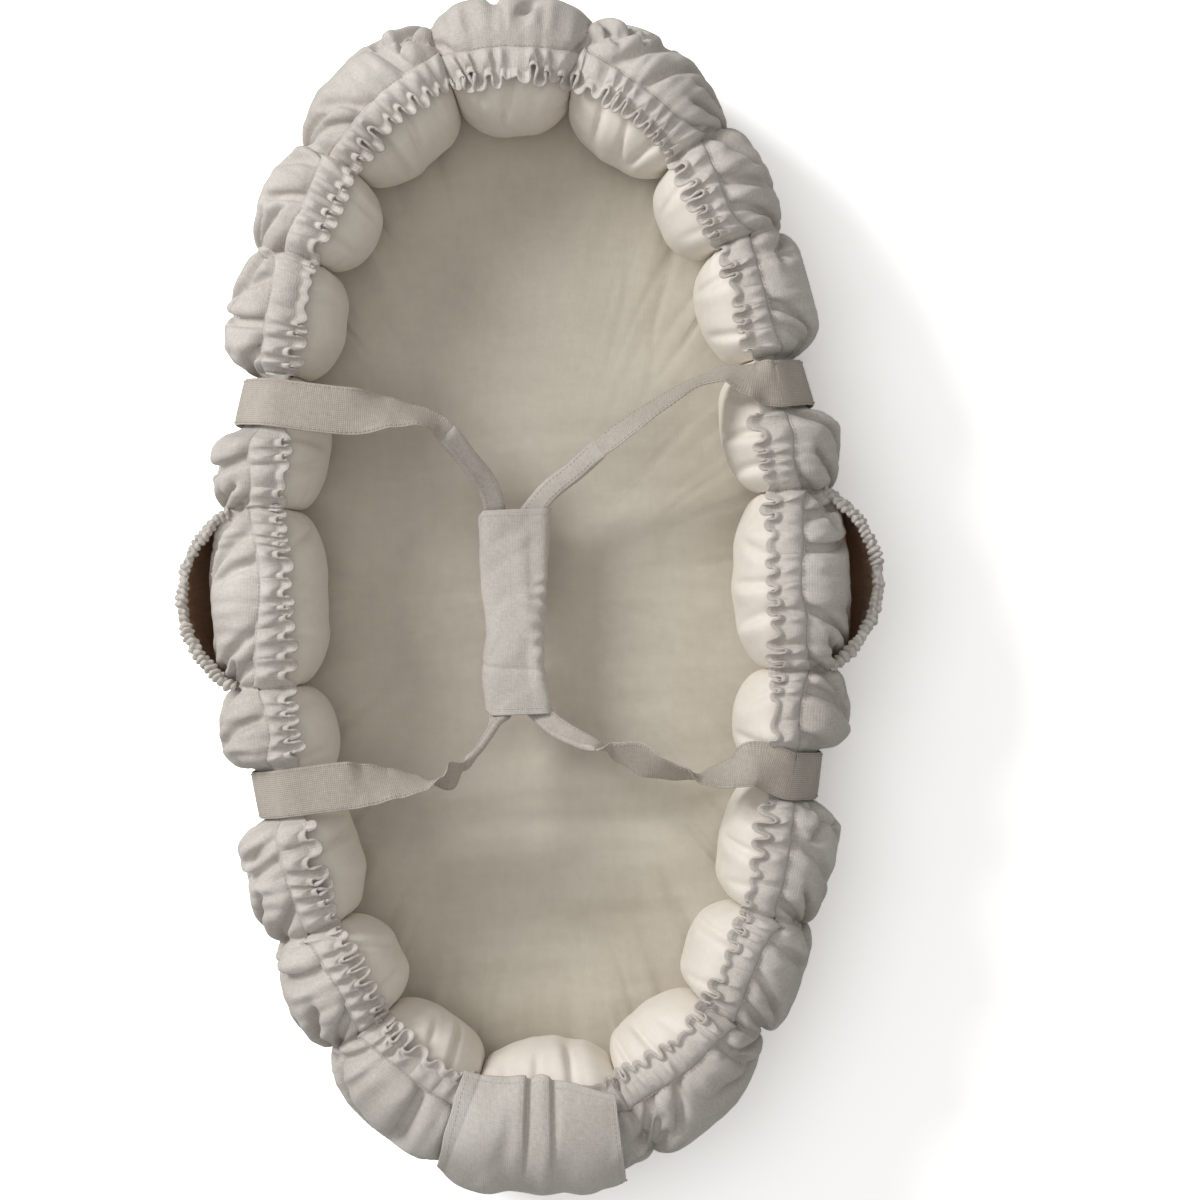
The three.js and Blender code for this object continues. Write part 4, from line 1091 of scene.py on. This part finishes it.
for end in ("head", "foot"):
    for word in ("right", "left"):
        addStrap(word, end)
print("straps made")


# Grip: a linen wrap round both handles, closed by a flap with hook and loop tape
def valueAlong(share, values):
    values = np.array([2 * values[0] - values[1], *values, 2 * values[-1] - values[-2]])
    at = np.asarray(share, float) * (len(values) - 3)
    k = np.clip(at.astype(int), 0, len(values) - 4)
    t = at - k
    p0, p1, p2, p3 = (values[k + i] for i in range(4))
    return curveBetween(p0, p1, p2, p3, t)


def gripPoint(share, angle, outwards):
    bow = (2 * share - 1) ** 2
    turn = np.radians(angle)
    right = smooth(np.cos(turn), -0.3, 0.3)
    half = lerp(valueAlong(share, grip["leftHalf"]), valueAlong(share, grip["rightHalf"]), right) + outwards
    depth = lerp(grip["waistDepth"], grip["endDepth"], bow) / 2 + outwards
    ends = 1 - 0.05 * smooth(np.cos(turn) * -1, 0.75, 1)
    x = grip["x"] + half * signedPower(np.cos(turn), 2 / grip["power"])
    y = grip["y"] + (0.5 - share) * grip["length"] * ends
    z = grip["z"] + depth * signedPower(np.sin(turn), 2 / grip["power"])
    return np.stack(np.broadcast_arrays(x, y, z), -1)


# What all the grip's layers share: soft folds, a ridge over the handle, puckers beside it, and a pressed
# seam
gripFold = dict(soft=0.0008, fine=0.0004, ridge=0.0013, pucker=0.0013, sink=0.0012, seam=0.0011,
                seamAt=0.775)


def gripFolds(share, angle):
    turn = np.radians(angle)
    around = np.cos(turn) * 1.6
    folds = gripFold["soft"] * softNoise(share * 6 + around, np.sin(turn) * 1.4, 901)
    folds = folds + gripFold["fine"] * softNoise(share * 17 + around, np.sin(turn) * 3, 902)
    centred = (np.asarray(angle) + 180) % 360 - 180
    ridge = np.exp(-((centred - 58 - 16 * np.sin(share * 5 + 0.6)) / 15) ** 2)
    ridge = ridge * smooth(share, 0.02, 0.3) * (1 - smooth(share, 0.8, 1))
    pucker = np.exp(-((centred - 24) / 34) ** 2)
    pucker = pucker * smooth(share, 0.22, 0.45) * (1 - smooth(share, 0.72, 0.86))
    waves = np.sin(share * 80 + centred / 22 + 5 * softNoise(share * 6, around, 903))
    waves = waves * (0.8 + 0.6 * softNoise(share * 11, 2.5, 904))
    band = np.exp(-((share - gripFold["seamAt"] + 0.0002 * (centred - 90)) / 0.014) ** 2)
    band = band * smooth(centred, -20, 30)
    folds = folds + gripFold["ridge"] * ridge + gripFold["pucker"] * pucker * waves
    return folds - gripFold["sink"] * pucker - gripFold["seam"] * band


def addWrapPanel(name, node, body, angles, shares, lift, wall, flatSize=None):
    shares = np.linspace(*shares, 120)[:, None]
    angles = np.linspace(*angles, 80)[None, :]
    folds = gripFolds(shares, angles)
    outer = gripPoint(shares, angles, lift(angles) + folds)
    inner = gripPoint(shares, angles, lift(angles) + folds - wall)
    loops = np.concatenate([outer, inner[:, ::-1]], 1)
    around = np.concatenate([np.radians(angles), np.radians(angles[:, ::-1])], 1) * 0.02
    uv = np.stack(np.broadcast_arrays(around, shares * grip["length"]), -1)
    obj = loopPiece(name, loops, washedLinen if flatSize else nylonTape, uv)
    if body == "grip_flap_body" and flatSize:
        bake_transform(obj)
    else:
        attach(obj, body)
    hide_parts(node)


tapeTop = 2 * (grip["clear"] + grip["strip"])
flapLift = tapeTop + grip["clear"] + grip["wall"]
closing = lambda angle: 1 - smooth(angle, 22, 62)
addWrapPanel("grip_wrap_under", "grip_wrap", "grip", (182, 366), (0, 1), lambda angle: 0 * angle,
             grip["wall"], (grip["length"], grip["underWidth"]))
addWrapPanel("grip_wrap_flap", "grip_flap", "grip_flap_body", (-34, 180), (0, 1),
             lambda angle: flapLift * closing(angle), grip["wall"], (grip["length"], grip["flapWidth"]))
addWrapPanel("grip_loop_strip", "grip_loop_tape", "grip", grip["tapeAngles"], grip["tapeShares"],
             lambda angle: tapeTop / 2 + 0 * angle, grip["strip"])
addWrapPanel("grip_hook_strip", "grip_hook_tape", "grip_flap_body", grip["tapeAngles"], grip["tapeShares"],
             lambda angle: tapeTop + 0 * angle, grip["strip"])


def addGripStitches():
    lines = []
    for share in (0.03, 0.97):
        angles = np.linspace(4, 176, 120)
        at = gripPoint(share, angles, flapLift * closing(angles) + gripFolds(share, angles))
        above = gripPoint(share, angles, flapLift * closing(angles) + gripFolds(share, angles) + 0.002)
        lines.append((at, above - at))
    obj = addStitches("grip_stitches", lines)
    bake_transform(obj)


addGripStitches()


def addHandle(side):
    word = "right" if side > 0 else "left"
    share = np.linspace(-1, 1, 40)
    same = np.ones(40)
    y = grip["y"] + share * (grip["length"] / 2 - 0.002)
    centres = np.stack([handleX(side, share), y, same * grip["z"]], -1)
    across = np.outer(same, [1, 0, 0])
    up = np.outer(same, [0, 0, 1])
    widths = same * grip["handleWidth"]
    loops = bandLoops(centres, across, up, widths, same * grip["handleThickness"])
    obj = loopPiece(f"handle_{word}_sleeve", loops, handleLinen, bandUv(centres, widths), flip=True)
    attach(obj, "grip")
    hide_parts(f"handle_{word}")


addHandle(1)
addHandle(-1)
print("grip made")


# Side pockets
pocket = dict(depth=0.0195, bulgePower=0.75, mouthSide=46, mouthMiddle=26, tube=0.0072, gather=0.0008,
              seat=0.0063, columns=200, rows=60, insetShare=0.02, ruffle=0.0046, ruffleRise=0.0017,
              wall=0.0012, gathers=0.128 / 0.0105, gatherDepth=0.0014, broad=0.0013, flat=(0.17, 0.125),
              backFlat=(0.135, 0.100))


def pocketSpan():
    start, end = grooves[4], grooves[5]
    return lerp(start, end, pocket["insetShare"]), lerp(end, start, pocket["insetShare"])


def pocketBulge(share):
    return pocket["depth"] * np.sin(np.clip(share, 0, 1) * math.pi) ** pocket["bulgePower"]


def pocketMouth(share):
    return lerp(pocket["mouthSide"], pocket["mouthMiddle"], np.sin(share * math.pi))


def cadPinch(way):
    return np.abs(2 * inChannel(way)[1] - 1) ** 3.4 * 0.8


def addPocket(side):
    word = "right" if side > 0 else "left"
    seed = 1000 if side > 0 else 1100
    start, end = pocketSpan()
    share = np.linspace(0, 1, pocket["columns"])[None, :]
    rise = np.linspace(0, 1, pocket["rows"])[:, None]
    way = side * lerp(start, end, share)
    angle = lerp(cover["startAngle"], pocketMouth(share), rise)
    gather = smooth(rise, 0.45, 1.0)
    gathers = np.sin(2 * math.pi * share * pocket["gathers"] + 2.5 * softNoise(share * 9, 0.5, seed))
    folds = pocket["gatherDepth"] * gathers * gather
    folds = folds + pocket["broad"] * softNoise(share * 7, rise * 2.5, seed + 1) * smooth(rise, 0, 0.2)
    out = pocketBulge(share) * rise ** pocket["bulgePower"] + folds
    offset = pocket["seat"] + lerp(0, (pocket["tube"] - 0.0014) / 2, rise)

    def face(extra):
        points = ringPoint(way, angle, offset, out + extra, pinch=cadPinch(way))
        points[..., 2] = np.maximum(points[..., 2] - (pocket["tube"] / 2 - 0.0003) * rise, 0.0023)
        return points

    outer, inner = face(pocket["wall"]), face(0)
    uv = np.stack(np.broadcast_arrays(share * 0.16, rise * 0.12), -1)
    panel = gridPiece(f"pocket_{word}_panel", outer, washedLinen, uv, flip=side < 0)
    # Painted shade: the brown facing inside the panel and the brown backing on the ring behind it stand in
    # for the warm shade inside the pocket.
    shadeLining = gridPiece(f"pocket_{word}_shadeFacing", inner[2:, 4:-4], pocketShadeBrown, uv[2:, 4:-4], flip=side > 0)
    back = ringPoint(way, angle, pocket["seat"] - 0.0002, pinch=cadPinch(way))
    shadeBacking = gridPiece(f"pocket_{word}_backing", back[2:46, 4:-4], pocketShadeBrown, uv[2:46, 4:-4],
                        flip=side < 0)
    for obj in (panel, shadeLining, shadeBacking):
        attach(obj, "root")
    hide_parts(f"pocket_panel_{word}")

    stations = 900
    s = np.linspace(0, 1, stations)
    way = side * lerp(start, end, s)
    seat = pocket["seat"] + pocket["tube"] / 2 + pocket["gather"]
    centres = ringPoint(way, pocketMouth(s), seat, pocketBulge(s), pinch=cadPinch(way))
    along = unit(np.gradient(centres, axis=0))
    across = unit(np.cross(along, [0, 0, 1]))
    up = unit(np.cross(across, along))
    length = lengthsAlong(centres)
    turn = np.linspace(0, 2 * math.pi, 28, endpoint=False)[None, :]
    phase = 2 * math.pi * length / pocket["ruffle"] + 2.2 * softNoise(length / 0.012, 0.5, seed + 3)
    phase = phase[:, None]
    slant = 1.1 * np.sin(turn + 0.6 + 1.5 * softNoise(length / 0.02, 4.5, seed + 6)[:, None])
    depth = 0.75 + 0.6 * softNoise(length / 0.0055, 2.5, seed + 5)[:, None]
    radius = pocket["tube"] / 2 - 0.0006 + pocket["ruffleRise"] * (
        depth * (np.abs(np.sin(phase / 2 + slant)) ** 0.6 * 1.7 - 0.7)
        + 0.9 * softNoise(length[:, None] / 0.004, turn * 1.5, seed + 4))
    loops = centres[:, None, :] + radius[..., None] * (np.cos(turn)[..., None] * across[:, None, :]
                                                       + np.sin(turn)[..., None] * up[:, None, :])
    uv = np.stack(np.broadcast_arrays(turn * 0.004, length[:, None] * 1.8), -1)
    tube = loopPiece(f"pocket_{word}_hem_tube", loops, washedLinen, uv, flip=side < 0)
    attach(tube, "root")
    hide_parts(f"pocket_hem_{word}")


addPocket(1)
addPocket(-1)
print("pockets made")


# Foot flap, sewn along its top edge and lying over the foot end. Left and right edges are x at the top,
# middle and bottom, and the angles are round the ring's section. Each pleat is a share of the flap's width
# and a depth.
flap = dict(leftEdge=(-0.0575, -0.071, -0.0805), rightEdge=(0.0485, 0.0515, 0.0530),
            topAngle=(113, 117, 120, 112, 99), bottomAngle=(24, 4, -6, -9, 6), thickness=0.0011,
            columns=150, rows=100, seat=0.0063, pleats=((0.42, 0.0048), (0.58, 0.0040)), deepest=0.0042,
            pleatLean=0.04, pleatEdge=0.008, pleatWidth=0.055, pleatLip=0.0016, sway=0.0015, broad=0.0026,
            fine=0.0012, sewn=-0.338, free=-0.352, foldZ=0.153)


def addFootFlap():
    share = np.linspace(0, 1, flap["columns"])[None, :]
    down = np.linspace(0, 1, flap["rows"])[:, None]
    spots = np.linspace(0, 1, 5)
    left = np.interp(down, [0, 0.5, 1], flap["leftEdge"]) + 0.0012 * softNoise(down * 4, 0.5, 1205)
    right = np.interp(down, [0, 0.5, 1], flap["rightEdge"]) + 0.0012 * softNoise(down * 4, 2.5, 1205)
    wide = lerp(left, right, share)
    corners = 12 * (1 - smooth(share, 0, 0.08)) ** 2 + 3 * (1 - smooth(1 - share, 0, 0.06)) ** 2
    angle = lerp(np.interp(share, spots, flap["topAngle"]), np.interp(share, spots, flap["bottomAngle"])
                 + 2 * softNoise(share * 6, 0.5, 1201) + corners, down)
    tableWay = np.linspace(0.84, 1.16, 220)
    way, shift = np.empty(wide.shape), np.zeros(wide.shape)
    for _ in range(4):
        for j in range(wide.shape[0]):
            x = ringPoint(tableWay, angle[j].mean(), flap["seat"], pinch=0)[:, 0]
            way[j] = np.interp((wide + shift)[j], x[::-1], tableWay[::-1])
        shift = shift + wide - ringPoint(way, angle, flap["seat"], pinch=0)[..., 0]
    sway = np.sin(share * 17 + 2 * softNoise(share * 4, down * 1.5, 1202))
    folds = flap["sway"] * sway * smooth(down, 0.15, 0.8)
    folds = folds + flap["broad"] * softNoise(share * 5, down * 2.0, 1203) * smooth(down, 0.05, 0.5)
    folds = folds + flap["fine"] * softNoise(share * 12 + down * 3, down * 3.0, 1204) * smooth(down, 0, 0.1)
    for place, depth in flap["pleats"]:
        far = share - place - flap["pleatLean"] * down
        spread = np.where(far < 0, flap["pleatEdge"], flap["pleatWidth"] * (1 - 0.6 * smooth(down, 0, 0.5)))
        folds = folds - depth * np.exp(-(far / spread) ** 2) * (1 - smooth(down, 0.15, 0.6))
        lip = flap["pleatLip"] * np.exp(-((far + 0.05) / 0.045) ** 2)
        folds = folds + lip * (1 - smooth(down, 0.3, 0.9))
    rise = flap["seat"] + 0.0032 + np.maximum(folds, -flap["deepest"])

    def face(extra):
        return ringPoint(way, angle, rise + extra, pinch=0.1 * pinchAt(way))

    outer, inner = face(flap["thickness"]), face(0)
    loops = np.concatenate([outer, inner[:, ::-1]], 1)
    uv = np.stack(np.broadcast_arrays(np.concatenate([wide, wide[:, ::-1]], 1), down * 0.12), -1)
    obj = loopPiece("foot_flap_linen", loops, washedLinen, uv, flip=True)
    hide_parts("foot_flap")
    up = face(flap["thickness"] + 0.002) - outer
    lines = [(outer[4, 3:-3], up[4, 3:-3])]
    lines += [(outer[5:-5, column], up[5:-5, column]) for column in (4, -5)]
    stitches = addStitches("foot_flap_stitches", lines)
    for one in (obj, stitches):
        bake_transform(one)


addFootFlap()
print("foot flap made")


# The base board keeps its frame shape, in its real finish
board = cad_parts["base_board"]
board.data.materials.clear()
board.data.materials.append(pressedHardboard)


# Floor, lamps and sky
studio = dict(keyDirection=(-0.68, 0.50, 0.58), keyDistance=4.0, keySize=1.5, keyPower=106,
              topAt=(-0.5, 0.25, 3.0), topSize=2.4, topPower=16, sky=0.41, skyTint=(1.0, 0.985, 0.96),
              floorSize=6, floorColour=0.50, floorSeen=1.80)


def addStudio():
    size = studio["floorSize"]
    corners = [(-size, -size, 0), (size, -size, 0), (size, size, 0), (-size, size, 0)]
    material = bpy.data.materials.new("paperFloor")
    material.use_nodes = True
    tree = material.node_tree
    tree.nodes.clear()
    rays = addNode(tree, "ShaderNodeLightPath").outputs
    gloss = addNode(tree, "ShaderNodeMath", {0: rays["Is Glossy Ray"], 1: rays["Is Transmission Ray"]},
                    operation="MAXIMUM").outputs[0]
    seen = addNode(tree, "ShaderNodeMath", {0: rays["Is Camera Ray"], 1: gloss},
                   operation="MAXIMUM").outputs[0]
    low, high = studio["floorColour"], studio["floorSeen"]
    tone = addNode(tree, "ShaderNodeMix",
                   {"Factor": seen, "A": (low, low, low, 1), "B": (high, high, high, 1)},
                   data_type="RGBA", clamp_result=False)
    diffuse = addNode(tree, "ShaderNodeBsdfDiffuse", {"Color": tone.outputs["Result"]})
    out = addNode(tree, "ShaderNodeOutputMaterial")
    tree.links.new(diffuse.outputs["BSDF"], out.inputs["Surface"])
    floor = makePiece("floor", np.array(corners) - [0, 0, 0.0004], [(0, 1, 2, 3)], material)
    keyAt = Vector(studio["keyDirection"]).normalized() * studio["keyDistance"]
    for name, place in (("key", keyAt), ("top", Vector(studio["topAt"]))):
        light = bpy.data.lights.new(name, "AREA")
        light.shape = "DISK"
        light.size = studio[f"{name}Size"]
        light.energy = studio[f"{name}Power"]
        lamp = bpy.data.objects.new(name, light)
        lamp.location = place
        lamp.rotation_euler = place.to_track_quat("Z", "Y").to_euler()
        bpy.context.scene.collection.objects.link(lamp)
    world = bpy.data.worlds.new("studio")
    bpy.context.scene.world = world
    world.use_nodes = True
    tree = world.node_tree
    tree.nodes.clear()
    sky = addNode(tree, "ShaderNodeBackground",
                  {"Color": (*studio["skyTint"], 1), "Strength": studio["sky"]})
    plain = addNode(tree, "ShaderNodeBackground", {"Color": (1, 1, 1, 1), "Strength": 1.0})
    seen = addNode(tree, "ShaderNodeLightPath").outputs["Is Camera Ray"]
    mix = addNode(tree, "ShaderNodeMixShader", {0: seen, 1: sky.outputs[0], 2: plain.outputs[0]})
    out = addNode(tree, "ShaderNodeOutputWorld")
    tree.links.new(mix.outputs[0], out.inputs["Surface"])


addStudio()
bpy.context.scene.view_settings.view_transform = "Standard"
print("studio made")
